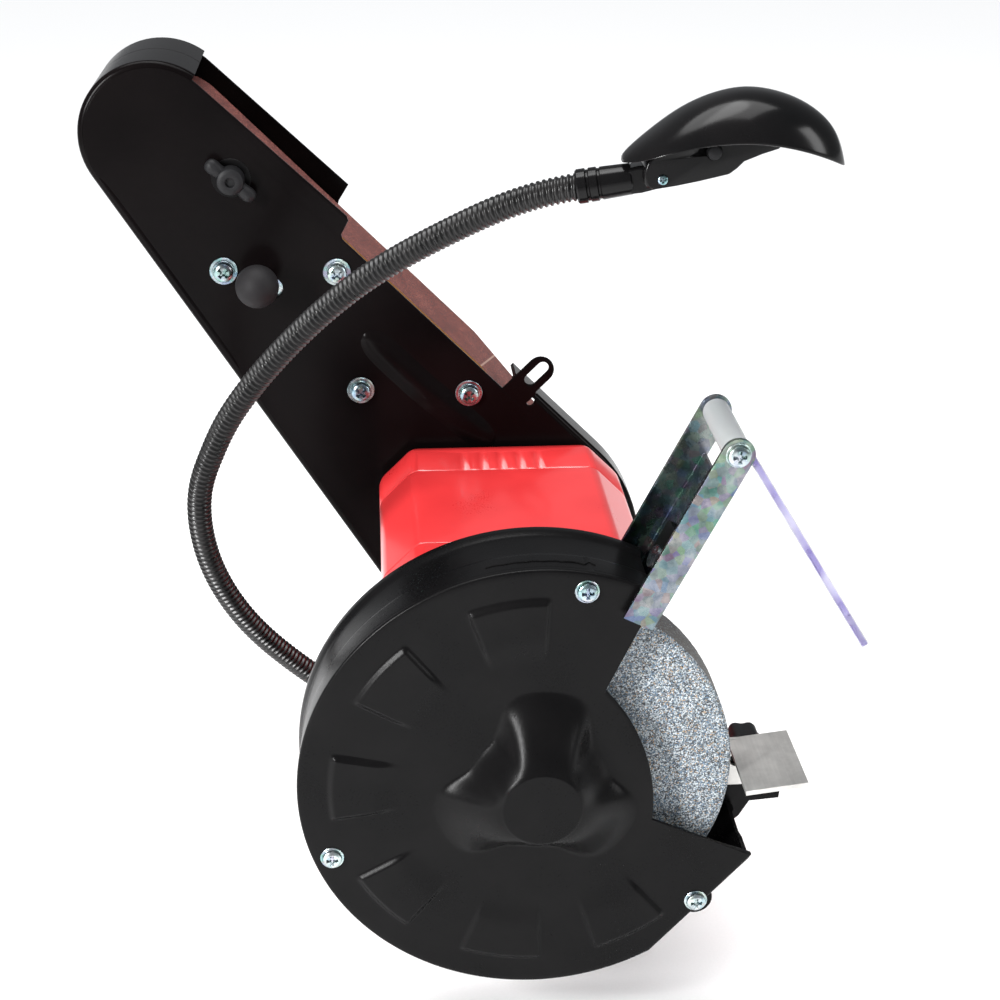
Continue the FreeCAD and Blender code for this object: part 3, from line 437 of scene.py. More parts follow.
def circle_ring(x, radius, like):
    """A circle with its points in the directions of another ring's points."""
    ring = []
    for far, y, z in like:
        ring.append((x, *(Vector((y, z - MIDDLE)).normalized() * radius + Vector((0, MIDDLE)))))
    return ring


def carve(made, cutter, sharp):
    """Cuts one piece's shape out of another and drops the cutter."""
    cut = made.modifiers.new("cut", "BOOLEAN")
    cut.object, cut.solver = cutter, "EXACT"
    bpy.context.view_layer.update()
    cut_mesh = bpy.data.meshes.new_from_object(made.evaluated_get(bpy.context.evaluated_depsgraph_get()))
    made.modifiers.clear()
    made.data = cut_mesh
    made.data.shade_smooth()
    made.data.set_sharp_from_angle(angle=math.radians(sharp))
    bpy.data.objects.remove(cutter)


shell_rings = [motor_ring(x, inset) for x, inset in ((-37.8, 1.1), (-37.7, 0.35), (-37.2, 0.05), (-30, 0),
                                                     (0, 0), (30, 0), (37.2, 0.05), (37.7, 0.35),
                                                     (37.8, 1.1))]
piece("motor_casing", skinned(shell_rings), RED, "base", ["motor_shell"])
BELL_STATIONS = ((38, 1.1), (38.3, 0.35), (39, 0), (61.5, 0.1), (65.5, 0.7), (67.4, 2.2), (68, 4.4))
for name, node, way, neck in (
        ("left_bell", "end_bell_left", -1,
         ((68, 30), (70.5, 26.4), (74, 25.2), (90, 24.3), (97.4, 24), (97.4, 14))),
        ("right_bell", "end_bell_right", 1,
         ((68, 31), (69.2, 27.5), (71, 25.6), (74.4, 25), (75, 24.2), (75, 10)))):
    rings = [motor_ring(way * x, inset) for x, inset in BELL_STATIONS]
    rings += [circle_ring(way * x, radius, rings[0]) for x, radius in neck]
    bell = piece(name, skinned(rings), RED, "base", [node], sharp=28)
    if way > 0:
        for across in (-17, -8.5, 0, 8.5, 17):
            cutter = piece("scallop", turned([(36, 3.4), (57, 3.4), (60, 2), (61, 0.1)],
                                             (across, MIDDLE + MOTOR_TALL + 2.5), 24), RED, None)
            carve(bell, cutter, 28)


def cross_head(place_x, centre, radius, height, steps=48):
    """A pan head with a cross recess, facing -X, on a turned washer face."""
    rings = []
    for share, lift in ((1.0, 0), (1.0, 0.35), (0.93, 0.72), (0.78, 0.93), (0.6, 1), (0.42, 1), (0.3, 1),
                        (0.16, 1), (0.02, 1)):
        ring = []
        for step in range(steps):
            angle = math.tau * step / steps
            reach = share * radius
            arm = max(abs(math.cos(angle)), abs(math.sin(angle)))
            sunk = 0.62 * height if share < 0.5 and (share < 0.2 or arm > 0.955) else 0
            ring.append((place_x - lift * height + sunk, centre[0] + reach * math.cos(angle),
                         centre[1] + reach * math.sin(angle)))
        rings.append(ring)
    return skinned(rings)


def disc_washer(place_x, centre, inner, outer, thick):
    profile = [(place_x, inner), (place_x - thick, inner), (place_x - thick, outer - 0.15),
               (place_x - thick + 0.15, outer), (place_x, outer)]
    return turned(profile, centre, 48, hollow=True)


bolt_heads = [joined(cross_head(-68.6, (y, MIDDLE + z), 3.9, 2.4),
                     disc_washer(-68, (y, MIDDLE + z), 2, 4, 0.7)) for y in (-38, 38) for z in (-38, 38)]
piece("motor_bolt_heads", joined(*bolt_heads), ZINC, "base", ["motor_through_bolts"])


def plain_metal(name, slot, colour, rough):
    finish = Finish(slot, name)
    brushed = finish.cloud(0.8, 3.0, 0.6, (1, 1, 0.08))
    patch = finish.cloud(12, 3.0)
    finish.done(Base_Color=finish.ramp(patch, (0.3, tuple(0.75 * part for part in colour)), (0.7, colour)),
                Metallic=1.0, Roughness=patch * 0.15 + rough + brushed * 0.1,
                Normal=finish.relief(brushed, 0.02, 0.6))
    return finish


STEEL = plain_metal("turned_steel", "bearing_steel", (0.6, 0.6, 0.6), 0.2)
refinish(plain_metal("lamination_steel", "lamination_steel", (0.3, 0.31, 0.32), 0.35), "stator_core",
         "rotor_core")
refinish(plain_metal("copper", "copper", (0.72, 0.3, 0.16), 0.25), "stator_windings")
refinish(STEEL, "bearings", "spindle", "wheel_flange_inner", "wheel_flange_outer")
refinish(plain_metal("aluminium", "aluminium", (0.75, 0.76, 0.77), 0.3), "idler_wheel", "drive_wheel")
refinish(ZINC, "wheel_nut", "drive_wheel_nut")
refinish(moulded("blotter_paper", "blotter_paper", (0.3, 0.26, 0.2), 0.8), "wheel_blotters")

# ===== wheel guard ================================================================
# A deep pressed pan screwed to the left bell, open at the front over a quarter of
# the wheel, with a rolled back edge, and black enamel inside and out.
GUARD_RADIUS, OPEN_TOP, OPEN_LOW, CHORD_END = 90.3, 116.8, 203.4, 240.0
GUARD_BACK, GUARD_FRONT, COVER_FACE, GUARD_SHEET = -97.5, -134.0, -135.5, 1.5
CHORD_MIDDLE = (OPEN_LOW + CHORD_END) / 2
CHORD_GAP = GUARD_RADIUS * math.cos(math.radians((CHORD_END - OPEN_LOW) / 2))


def rim_radius(degrees, inset=0.0):
    """The pan's outline about the spindle: a circle with one flat at the lower front."""
    turn = degrees % 360
    flat = (CHORD_GAP - inset) / max(0.1, math.cos(math.radians(turn - CHORD_MIDDLE)))
    return min(GUARD_RADIUS - inset, flat) if abs(turn - CHORD_MIDDLE) < 60 else GUARD_RADIUS - inset


def about_spindle(x, radius, degrees):
    return x, radius * math.cos(math.radians(degrees)), MIDDLE + radius * math.sin(math.radians(degrees))


RIM_TURNS = [OPEN_LOW + (OPEN_TOP + 360 - OPEN_LOW) * step / 220 for step in range(221)]
RIM_SECTION = [(GUARD_FRONT, 1.4), (-132.6, 0.75), (-130.5, 0.6), (-121.2, 0.65), (-119.8, 1.0),
               (-118.4, 1.35), (-105.4, 1.3), (-103.6, 0.85), (-102.2, 0.1), (-100.2, 0), (-98.2, 0.1),
               (GUARD_BACK, 0.9), (GUARD_BACK, 2.2), (-99.4, 2.9), (-103.5, 2.9), (-118.8, 2.95),
               (-121.2, 2.4), (GUARD_FRONT, 2.4)]
rim = skinned([[about_spindle(x, rim_radius(turn, inset), turn) for x, inset in RIM_SECTION]
               for turn in RIM_TURNS])
back_edge = [(y, z) for x, y, z in (about_spindle(0, rim_radius(turn, 1.2), turn) for turn in RIM_TURNS)]
window_edge = [(y, z) for x, y, z in (about_spindle(0, 60, turn) for turn in
                                      [OPEN_TOP + (OPEN_LOW - OPEN_TOP) * step / 30 for step in range(31)])]


def arc_points(centre, radius, start, end, steps=24):
    return [(centre[0] + radius * math.cos(math.radians(start + (end - start) * step / steps)),
             centre[1] + radius * math.sin(math.radians(start + (end - start) * step / steps)))
            for step in range(steps + 1)]


def sheet_plate(outlines, start, thickness, edge=0.5):
    """A flat plate across X from outlines in (along, up); the first may have holes in it."""
    outline_curve = bpy.data.curves.new("outline", "CURVE")
    outline_curve.dimensions, outline_curve.fill_mode = "2D", "BOTH"
    outline_curve.extrude = thickness / 2 - edge
    outline_curve.bevel_depth, outline_curve.bevel_resolution = edge, 1
    outline_curve.offset = -edge
    for outline in outlines:
        spline = outline_curve.splines.new("POLY")
        spline.points.add(len(outline) - 1)
        spline.use_cyclic_u = True
        for vertex, (along, up) in zip(spline.points, outline):
            vertex.co = (along, up, 0, 1)
    holder = bpy.data.objects.new("outline", outline_curve)
    flat = bpy.data.meshes.new_from_object(holder)
    points = [(start + thickness / 2 + vertex.co.z, vertex.co.x, vertex.co.y) for vertex in flat.vertices]
    faces = [list(face.vertices) for face in flat.polygons]
    bpy.data.objects.remove(holder)
    bpy.data.curves.remove(outline_curve)
    bpy.data.meshes.remove(flat)
    return points, faces


spindle_hole = arc_points((0, MIDDLE), 11.5, 0, 360)[:-1]
back_plate = sheet_plate([back_edge + window_edge, spindle_hole], GUARD_BACK - GUARD_SHEET, GUARD_SHEET,
                         0.3)
COVER_SCREWS = [about_spindle(0, 83, turn)[1:] for turn in (101.4, -20.0, 221.3)]
posts = [turned([(-120, 2), (-120, 6.2), (-121, 6.8), (-133.9, 6.8), (-133.9, 2)], place, 32, hollow=True)
         for place in COVER_SCREWS]

SHIELD_TILT, SHIELD_PIVOT, SHIELD_LONG = 26.8, (-67.4, 254.2), 72.7
LEAN = math.radians(SHIELD_TILT)
shield_foot = (SHIELD_PIVOT[0] + (SHIELD_LONG - 4) * math.sin(LEAN),
               SHIELD_PIVOT[1] - (SHIELD_LONG - 4) * math.cos(LEAN))
SHIELD_FRAME = Matrix.Translation((0, *shield_foot)) @ Matrix.Rotation(LEAN, 4, "X")
TAB_MIDDLE = (GUARD_BACK + GUARD_FRONT) / 2
tab_outline = round_slab((TAB_MIDDLE, 17.5), (12, 8.6), 3, 5)
tab = [(SHIELD_FRAME @ Vector((x, y, z)))[:] for y in (-4.2, -2.7) for x, z in tab_outline]
count = len(tab_outline)
tab_shape = skinned([tab[:count], tab[count:]])
piece("guard_pan", joined(rim, back_plate, tab_shape, *posts), BLACK, "base", ["guard_body"], sharp=30)
SEAM = [(-126.5 + 1.6 * math.sin(step * 1.9) * (1 if step < 3 else 0.16), 103 - 1.35 * step)
        for step in range(20)]
seam_rings = []
for x, turn in SEAM:
    radius = rim_radius(turn, 0.45)
    ring = []
    for step in range(6):
        around = math.tau * step / 6
        ring.append(about_spindle(x + 0.5 * math.cos(around), radius + 0.3 * math.sin(around), turn))
    seam_rings.append(ring)
piece("guard_rim_seam", skinned(seam_rings), BLACK, "base")

# ===== guard cover ================================================================
# A pressed sheet screwed over the pan. A lobed dome clears the wheel's nut, six
# sector pads stiffen it, and its edge is turned down over the rim.
WINDOW_TOP = (118.05, 121.0, 47.2)
WINDOW_LOW = (201.0, 202.67, 47.2)
WINDOW_MIDDLE = 42.2
DOME_BASE, DOME_FLAT, DOME_TALL = 41.3, 15.4, 15.9
LOBE_TURN = 95
PADS = ((70.5, 92), (30, 51), (-8, 12), (310, 331), (269, 292), (230.5, 252.5))


def line_radius(turn, low, high):
    """Where a straight edge between two polar corners lies, in one direction."""
    a = Vector((low[1] * math.cos(math.radians(low[0])), low[1] * math.sin(math.radians(low[0]))))
    b = Vector((high[1] * math.cos(math.radians(high[0])), high[1] * math.sin(math.radians(high[0]))))
    way = Vector((math.cos(math.radians(turn)), math.sin(math.radians(turn))))
    along = b - a
    return (a.x * along.y - a.y * along.x) / (way.x * along.y - way.y * along.x)


def cover_radius(turn):
    """How far the cover reaches: the rim, or the window's edge over the wheel."""
    turn = turn % 360
    start, inner_start, corner = WINDOW_TOP
    inner_end, end, corner_low = WINDOW_LOW
    if start < turn < inner_start:
        return line_radius(turn, (start, GUARD_RADIUS), (inner_start, corner))
    if inner_start <= turn <= inner_end:
        share = (turn - inner_start) / (inner_end - inner_start)
        return corner - (corner - WINDOW_MIDDLE) * math.sin(math.pi * share) ** 0.8
    if inner_end < turn < end:
        return line_radius(turn, (inner_end, corner_low), (end, GUARD_RADIUS))
    return rim_radius(turn)


def smooth(value, low, high):
    share = min(1.0, max(0.0, (value - low) / (high - low)))
    return share * share * (3 - 2 * share)


def cover_height(radius, turn):
    """The pressing's height over its flat: pads, a raised field and the lobed dome."""
    height = 0.0
    for low, high in PADS:
        middle, half = (low + high) / 2, (high - low) / 2
        off = (turn - middle + 180) % 360 - 180
        sideways = half * math.radians(1) * radius - abs(math.radians(off)) * radius
        rise = smooth(sideways, -1.3, 1.3) * (1 - smooth(radius, 76.6, 79.4)) * smooth(radius, 52, 64)
        height = max(height, 1.7 * rise)
    lobes = math.tanh(1.7 * math.cos(math.radians(3 * (turn - LOBE_TURN)))) / math.tanh(1.7)
    foot = DOME_BASE - 7.3 + 7.3 * lobes
    flank = min(1.0, max(0.0, (radius - DOME_FLAT) / (foot - DOME_FLAT)))
    height += DOME_TALL * (1 - 0.6 * smooth(radius, DOME_FLAT - 1.2, foot) - 0.4 * flank)
    height += 0.35 * (1 - smooth(radius, DOME_FLAT - 0.9, DOME_FLAT - 0.1))
    return height


fine_turns = [step * 1.0 for step in range(360)] + [118.05, 118.5, 119.5, 120.5, 201.4, 201.8, 202.3,
                                                    202.67]
for low, high in PADS:
    for edge_turn in (low, high):
        fine_turns += [(edge_turn + shift) % 360 for shift in (-1.1, -0.6, -0.25, 0.25, 0.6, 1.1)]
fine_turns = sorted(set(round(turn, 3) for turn in fine_turns))
RADII = [0.05, 5, 9, 12, 13.4, 14.2, 14.6, 15, 15.5] + [16 + 0.9 * step for step in range(29)]
RADII += [43.5 + 1.9 * step for step in range(10)] + [61.6 + 1.5 * step for step in range(9)]
RADII += [74.8 + 0.6 * step for step in range(10)] + [82, 84, 86, 87.6]
face_rings = []
for turn in fine_turns:
    reach = cover_radius(turn)
    windowed = reach < 88 and 117 < turn < 203.5
    rolled = 1.4 if windowed else 2.4
    ring = []
    for radius in RADII:
        radius = min(radius, reach - rolled)
        ring.append(about_spindle(COVER_FACE - cover_height(radius, turn), radius, turn))
    lift = COVER_FACE - cover_height(reach - 1, turn)
    for share, drop in ((0.35, 0.12), (0.08, 0.5), (0.0, 1.1)):
        ring.append(about_spindle(lift + drop, reach - share * rolled, turn))
    for drop, back in ((1.5 if windowed else 2.6, 0.05), (1.6 if windowed else 2.7, 1.3)):
        ring.append(about_spindle(lift + drop, reach - back, turn))
    for radius in RADII[::-3]:
        radius = min(radius, reach - 1.3)
        ring.append(about_spindle(COVER_FACE - cover_height(radius, turn) + GUARD_SHEET, radius, turn))
    face_rings.append(ring)
piece("guard_face", skinned(face_rings, capped=False, closed=True), BLACK, "base", ["guard_cover"],
      sharp=50)
head_shapes = []
for place in COVER_SCREWS:
    head_shapes += [cross_head(COVER_FACE, place, 3.8, 2.3), disc_washer(COVER_FACE, place, 2.1, 4.5, 0.35)]
piece("cover_screw_heads", joined(*head_shapes), ZINC, "base", ["guard_cover_screws"])
refinish(ZINC, "guard_back_screws")

# ===== grinding wheel =============================================================
# Coarse vitrified aluminium oxide, 150 x 20 mm, with open grains all over and a
# trued rim. It is clamped on the spindle between two flanges with paper washers.
WHEEL_FACE, WHEEL_FAR, WHEEL_RADIUS = -126.0, -106.0, 75.0


def vitrified_grit():
    finish = Finish("abrasive_stone")
    grains = finish.cells(0.45, "Color")
    bright = finish.node("SeparateColor", None, {0: grains}, "Red")
    hue = finish.node("SeparateColor", None, {0: grains}, "Green")
    pits = finish.cells(0.55)
    coarse = finish.cloud(1.1, 3.0, 0.7)
    tone = bright * 0.62 + coarse * 0.55 - 0.06
    speck = finish.ramp(tone, (0.2, (0.012, 0.012, 0.014)), (0.85, (0.66, 0.7, 0.72)),
                        (0.38, (0.075, 0.085, 0.095)), (0.56, (0.2, 0.235, 0.26)),
                        (0.68, (0.38, 0.43, 0.46)))
    warm = finish.blend(hue.over(0.94, 0.01), speck, (0.4, 0.28, 0.17))
    cool = finish.blend(1 - hue.over(0.1, 0.02), warm, (0.1, 0.17, 0.25))
    side = finish.lies_flat("X").over(0.4, 0.3)
    # The rim, whose surface does not face along X, is coloured a darker brown than the faces, with some grit
    # mixed in.
    rim_brown = finish.blend(bright * 0.4, (0.085, 0.07, 0.055), cool)
    finish.done(Base_Color=finish.blend(side, rim_brown, cool), Roughness=bright * 0.35 + 0.5,
                Normal=finish.relief(bright * 0.8 + pits * 0.5, 0.35, 0.8))
    return finish


GRIT = vitrified_grit()


def grit_wheel():
    profile = [(WHEEL_FACE, 6.4), (WHEEL_FACE, 27), (WHEEL_FACE, 50), (WHEEL_FACE, 66), (WHEEL_FACE, 72),
               (WHEEL_FACE + 0.1, 74), (WHEEL_FACE + 0.9, WHEEL_RADIUS - 0.2)]
    profile += [(WHEEL_FACE + 2 + step, WHEEL_RADIUS - 0.15) for step in range(17)]
    profile += [(WHEEL_FAR - 0.9, WHEEL_RADIUS - 0.2), (WHEEL_FAR - 0.1, 74), (WHEEL_FAR, 72),
                (WHEEL_FAR, 27), (WHEEL_FAR, 6.4)]
    points, faces = turned(profile, (0, MIDDLE), 400, hollow=True)
    rough = []
    for x, y, z in points:
        radius = math.hypot(y, z - MIDDLE)
        bite = 0.16 * noise.noise(Vector((x, y, z)) * 0.9) if radius > 70 else 0
        rough.append((x, y * (1 + bite / radius), MIDDLE + (z - MIDDLE) * (1 + bite / radius)))
    return rough, faces


piece("grit_wheel", grit_wheel(), GRIT, "rotating_group", ["grinding_wheel"])

# ===== tool rest ==================================================================
# A bent zinc table on a folded leg, clamped through its slot by a lobed knob to a
# black bracket that is screwed to the guard's back.


def refined_node(name, finish, body, bevel, sharp=30, piece_name=None):
    """A bent sheet keeps its CAD outline and gains rolled edges."""
    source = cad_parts[name].data
    points = [tuple(vertex.co / MM) for vertex in source.vertices]
    faces = [list(face.vertices) for face in source.polygons]
    made = piece(piece_name or name + "_rolled", (points, faces), finish, body, [name], sharp=sharp)
    shell = bmesh.new()
    shell.from_mesh(made.data)
    bmesh.ops.dissolve_limit(shell, angle_limit=math.radians(1), verts=shell.verts, edges=shell.edges)
    shell.to_mesh(made.data)
    shell.free()
    edge = made.modifiers.new("rolled_edge", "BEVEL")
    edge.width, edge.segments, edge.limit_method = bevel * MM, 3, "ANGLE"
    edge.angle_limit = math.radians(sharp)
    edge.harden_normals = True
    return made


def satin_plate():
    """Dull zinc flake on the table, with rub marks across it."""
    finish = Finish("satin_zinc", "satin_plate")
    blotch = finish.cloud(14, 4.0, 0.6)
    fine = finish.cloud(0.6, 3.0)
    rubs = finish.cloud(1.1, 3.0, 0.6, (0.06, 1, 1))
    finish.done(Base_Color=finish.ramp(blotch + rubs * 0.3 - 0.15, (0.3, (0.5, 0.49, 0.47)),
                                       (0.7, (0.7, 0.69, 0.66))), Metallic=0.9,
                Roughness=blotch * 0.12 + 0.34 + rubs * 0.1, Normal=finish.relief(fine + rubs, 0.02, 0.5))
    return finish


refined_node("tool_rest_plate", satin_plate(), "tool_rest", 0.45, piece_name="rest_table")
refined_node("tool_rest_bracket", BLACK, "base", 0.5, piece_name="rest_bracket")


def lobed_knob(start, length, radius, lobes, centre, depth=1.2):
    """A moulded hand knob: scalloped skirt, crowned top and a hollow in its end."""
    rings = []
    for share, spread in ((0.0, 0.86), (0.03, 0.95), (0.12, 1.0), (0.8, 1.0), (0.93, 0.94), (1.0, 0.8),
                          (1.0, 0.45), (0.93, 0.38)):
        ring = []
        for step in range(96):
            turn = math.tau * step / 96
            reach = radius * spread - depth * (0.5 - 0.5 * math.cos(lobes * turn))
            ring.append((start + share * length, centre[0] + reach * math.cos(turn),
                         centre[1] + reach * math.sin(turn)))
        rings.append(ring)
    hollow = [(x, centre[0] + (y - centre[0]) * 0.05, centre[1] + (z - centre[1]) * 0.05)
              for x, y, z in rings[-1]]
    return skinned(rings + [hollow])


knob_low, knob_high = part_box("tool_rest_knob")
knob_centre = ((knob_low.y + knob_high.y) / 2 / MM, (knob_low.z + knob_high.z) / 2 / MM)
knob_stem = turned([(knob_low.x / MM, 0.05), (knob_low.x / MM, 2.6), (knob_low.x / MM + 0.4, 3), (-93.8, 3),
                    (-93.8, 0.05)], knob_centre, 24)
piece("rest_hand_knob", joined(lobed_knob(-94.1, 11.8, 8.5, 6, knob_centre), knob_stem), BLACK_PLASTIC,
      "rest_knob", ["tool_rest_knob"])

# ===== eye shield =================================================================
# A folded zinc channel bolted to the guard's tab carries a clear pane that tilts
# on a cross-head screw through its frosted barrel.
refined_node("shield_bracket", bright_zinc("channel_zinc", "zinc", 0.42), "base", 0.4, 25, "shield_channel")


def frosted_pane():
    """Cast clear plastic whose sawn edges hold a faint violet."""
    finish = Finish("clear_plastic")
    smudge = finish.cloud(15, 4.0, 0.6)
    scratch = finish.cloud(0.9, 2.0, 0.5, (1, 0.06, 0.06))
    clear = finish.ramp(smudge, (0.3, (0.83, 0.83, 0.87)), (0.7, (0.9, 0.9, 0.93)))
    along, up = finish.axis("Y") - SHIELD_PIVOT[0], finish.axis("Z") - SHIELD_PIVOT[1]
    barrel = 1 - (along * along + up * up).over(27, 8)
    sawn = finish.ramp(scratch, (0.4, (0.22, 0.18, 0.46)), (0.62, (0.66, 0.64, 0.82)))
    frosted = finish.blend(barrel, clear, (0.72, 0.74, 0.74))
    finish.done(Base_Color=finish.blend(finish.lies_flat("X").over(0.7, 0.2), frosted, sawn),
                Roughness=smudge * 0.05 + 0.02 + scratch * 0.03 + barrel * 0.4, Transmission_Weight=0.62,
                IOR=1.45, Specular_IOR_Level=0.5, Normal=finish.relief(scratch + smudge, 0.01, 0.3))
    return finish


PANE = frosted_pane()
pane_low, pane_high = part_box("eye_shield")
PANE_TURN = math.radians(-31.7)
PANE_FRAME = Matrix.Translation((0, *SHIELD_PIVOT)) @ Matrix.Rotation(PANE_TURN, 4, "X")
PANE_LEFT, PANE_RIGHT, PANE_LONG = pane_low.x / MM, pane_high.x / MM, 93.5
section = [(-4.9, 0.8), (-5.0, 0.0)] + arc_points((0, 0), 5, 180, -60, 20)[1:]
section += [(-2.0, -4.5), (-2.0, -PANE_LONG + 0.5), (-2.5, -PANE_LONG), (-4.5, -PANE_LONG),
            (-5.0, -PANE_LONG + 0.5)]
pane_rings = []
for x, ease in ((PANE_LEFT, 0.4), (PANE_LEFT + 0.4, 0), (PANE_RIGHT - 0.4, 0), (PANE_RIGHT, 0.4)):
    ring = []
    for along, up in section:
        middle = Vector((-3.5, -PANE_LONG / 2)) if up < -4 else Vector((0, 0))
        way = Vector((along, up)) - middle
        ring.append((x, along - math.copysign(min(ease, abs(way.x)), way.x),
                     up - math.copysign(min(ease, abs(way.y)), way.y)))
    pane_rings.append(ring)
piece("shield_pane", skinned(pane_rings), PANE, "shield", ["eye_shield"], place=PANE_FRAME, sharp=35)
pivot_head = joined(cross_head(-139.2, SHIELD_PIVOT, 4.1, 2.2),
                    disc_washer(-139, SHIELD_PIVOT, 2.1, 4.6, 0.4),
                    turned([(-139, 0.05), (-139, 2), (-91.2, 2), (-91, 1.8), (-91, 0.05)], SHIELD_PIVOT,
                           24), turned([(-93.9, 2), (-93.9, 3.8), (-91.6, 3.8), (-91.2, 3.4), (-91.2, 2)],
                                       SHIELD_PIVOT, 6, hollow=True))
piece("shield_pivot", pivot_head, ZINC, "base", ["shield_pivot_screw"])
refinish(ZINC, "shield_bolt")

# ===== belt arm ===================================================================
# Two pressed halves held apart by four spacer bolts turn on the right bell's boss.
# The near half has two pressed ribs, a slotted ear for a work rest and a knob slot.
ARM = Matrix.Translation((0, 0, MIDDLE)) @ Matrix.Rotation(math.radians(45), 4, "X")
ARM_NEAR, ARM_FAR, ARM_SHEET = 72.0, 133.0, 1.8
TIP, TIP_RADIUS, HEEL_RADIUS, BACK_SLOPE = (247, 36), 32.5, 68.5, 13.2
BELT_LEVEL, BELT_START, BELT_END = 59.5, 57.0, 161.0
back_out = Vector((math.sin(math.radians(BACK_SLOPE)), -math.cos(math.radians(BACK_SLOPE))))
back_tip = Vector(TIP) + back_out * TIP_RADIUS
back_gap = back_tip.dot(back_out)
back_along = Vector((-back_out.y, back_out.x))
back_heel = back_out * back_gap - back_along * math.sqrt(HEEL_RADIUS ** 2 - back_gap ** 2)
heel_angle = math.degrees(math.atan2(back_heel.y, back_heel.x))
tip_angle = math.degrees(math.atan2(back_out.y, back_out.x))


def arm_edge(inset, wall_only):
    """The arm's outline, drawn from the open front round the tip, back and heel."""
    tip = arc_points(TIP, TIP_RADIUS - inset, 81 if wall_only else 90, tip_angle, 36)
    back_shift = -back_out * inset
    back = [tuple(back_tip + back_shift + (back_heel - back_tip) * step / 12) for step in range(1, 12)]
    start = heel_angle % 360
    heel = arc_points((0, 0), HEEL_RADIUS - inset, start + inset * 0.6, 90, 40)
    front = [(step * BELT_START / 4, HEEL_RADIUS - inset) for step in range(1, 5)]
    return tip + back + heel + front


def in_front(spot):
    """Whether a point of the edge lies along the heel's front."""
    return spot[0] <= BELT_START and spot[1] > 0


def folded_wall(face, depth, way, front_depth):
    """The turned-in edge: a rounded fold from the plate into a wall of sheet."""
    path = [spot for spot in arm_edge(0, True) if front_depth or not in_front(spot)]
    rings = []
    bend = 2.6
    fold = []
    for step in range(6):
        lean = math.radians(90 - 18 * step)
        fold.append((bend - bend * math.sin(lean), bend - bend * math.cos(lean)))
    for index, spot in enumerate(path):
        deep = front_depth if in_front(spot) else depth
        section = fold + [(deep - 0.3, 0), (deep, 0.3), (deep, ARM_SHEET - 0.3), (deep - 0.3, ARM_SHEET),
                          (3, ARM_SHEET), (ARM_SHEET + 0.3, ARM_SHEET + 0.5), (ARM_SHEET, 2.7)]
        before, after = Vector(path[max(0, index - 1)]), Vector(path[min(len(path) - 1, index + 1)])
        run = (after - before).normalized()
        inward = Vector((run.y, -run.x))
        rings.append([(face + way * drop, *(Vector(spot) + inward * inset)) for drop, inset in section])
    return skinned(rings)


EAR_ALONG = 50.5
ear = [(56.8, BELT_LEVEL), (56.8, 78)] + arc_points((EAR_ALONG, 78), 6.3, 0, 180, 12)[1:-1]
ear += [(44.2, 78), (44.2, 69)]
ear += [(43.4, 68.4), (43.4, 63.2)] + arc_points((42.4, 63.2), 1.4, 0, -180, 6)[1:] + [(41, 66.4)]
near_outline = arm_edge(2.5, False)[:-4] + [(38, 66), (41, 66)] + ear[::-1]
near_outline += [(BELT_START + 1, BELT_LEVEL), (BELT_END - 3, BELT_LEVEL), (BELT_END - 1, BELT_LEVEL + 1.4),
                 (BELT_END + 1, HEEL_RADIUS - 1), (BELT_END + 3, HEEL_RADIUS)]


def turned_round(centre, radius, steps=28):
    return arc_points(centre, radius, 0, 360, steps)[:-1]


def long_hole(start, end, radius):
    heading = math.degrees(math.atan2(end[1] - start[1], end[0] - start[0]))
    far_end = arc_points(end, radius, heading - 90, heading + 90, 12)
    return far_end + arc_points(start, radius, heading + 90, heading + 270, 12)


holes = [turned_round((0, 0), 27), long_hole((EAR_ALONG, 71.5), (EAR_ALONG, 79.5), 2.7),
         long_hole((165, 21.7), (173.3, 21.7), 4.5), turned_round((211.6, 46), 3.2)]
near_plate = sheet_plate([near_outline] + holes, ARM_NEAR, ARM_SHEET, 0.5)


def pressed_rib(points, width, height, face):
    """A long rounded swelling in the plate, whose edges run out into it."""
    shape_points, shape_faces = [], []
    ends = [Vector(point) for point in points]
    lengths = [(b - a).length for a, b in zip(ends, ends[1:])]
    total = sum(lengths)
    rows, columns = 60, 14
    for row in range(rows + 1):
        travelled = total * row / rows
        spot, run = ends[0], (ends[1] - ends[0]).normalized()
        for a, b, length in zip(ends, ends[1:], lengths):
            if travelled <= length or b is ends[-1]:
                spot, run = a + (b - a) * travelled / length, (b - a).normalized()
                break
            travelled -= length
        fade = math.sqrt(max(0.0, 1 - (2 * row / rows - 1) ** 8))
        for column in range(columns + 1):
            off = (2 * column / columns - 1)
            lift = height * fade * math.cos(off * math.pi / 2) ** 1.3
            across = Vector((-run.y, run.x)) * off * width / 2 * max(0.15, fade)
            shape_points.append((face + 0.02 - lift, *(spot + across)))
    for row in range(rows):
        for column in range(columns):
            start = row * (columns + 1) + column
            shape_faces.append([start, start + 1, start + columns + 2, start + columns + 1])
    return shape_points, shape_faces


def gloss_black():
    """Smooth black enamel for the arm's two pressed halves."""
    finish = Finish("gloss_black_paint")
    peel = finish.cloud(2.4, 2.0)
    fine = finish.cloud(0.5, 2.0)
    patch = finish.cloud(40, 3.0)
    # The faint red in this black is a painted reflection of the red parts near the arm.
    finish.done(Base_Color=finish.ramp(patch, (0.3, (0.0022, 0.0016, 0.0017)),
                                       (0.7, (0.0038, 0.0028, 0.0029))),
                Roughness=patch * 0.08 + 0.14 + fine * 0.05, Specular_IOR_Level=0.05,
                Normal=finish.relief(peel + fine * 0.3, 0.02, 0.6))
    return finish


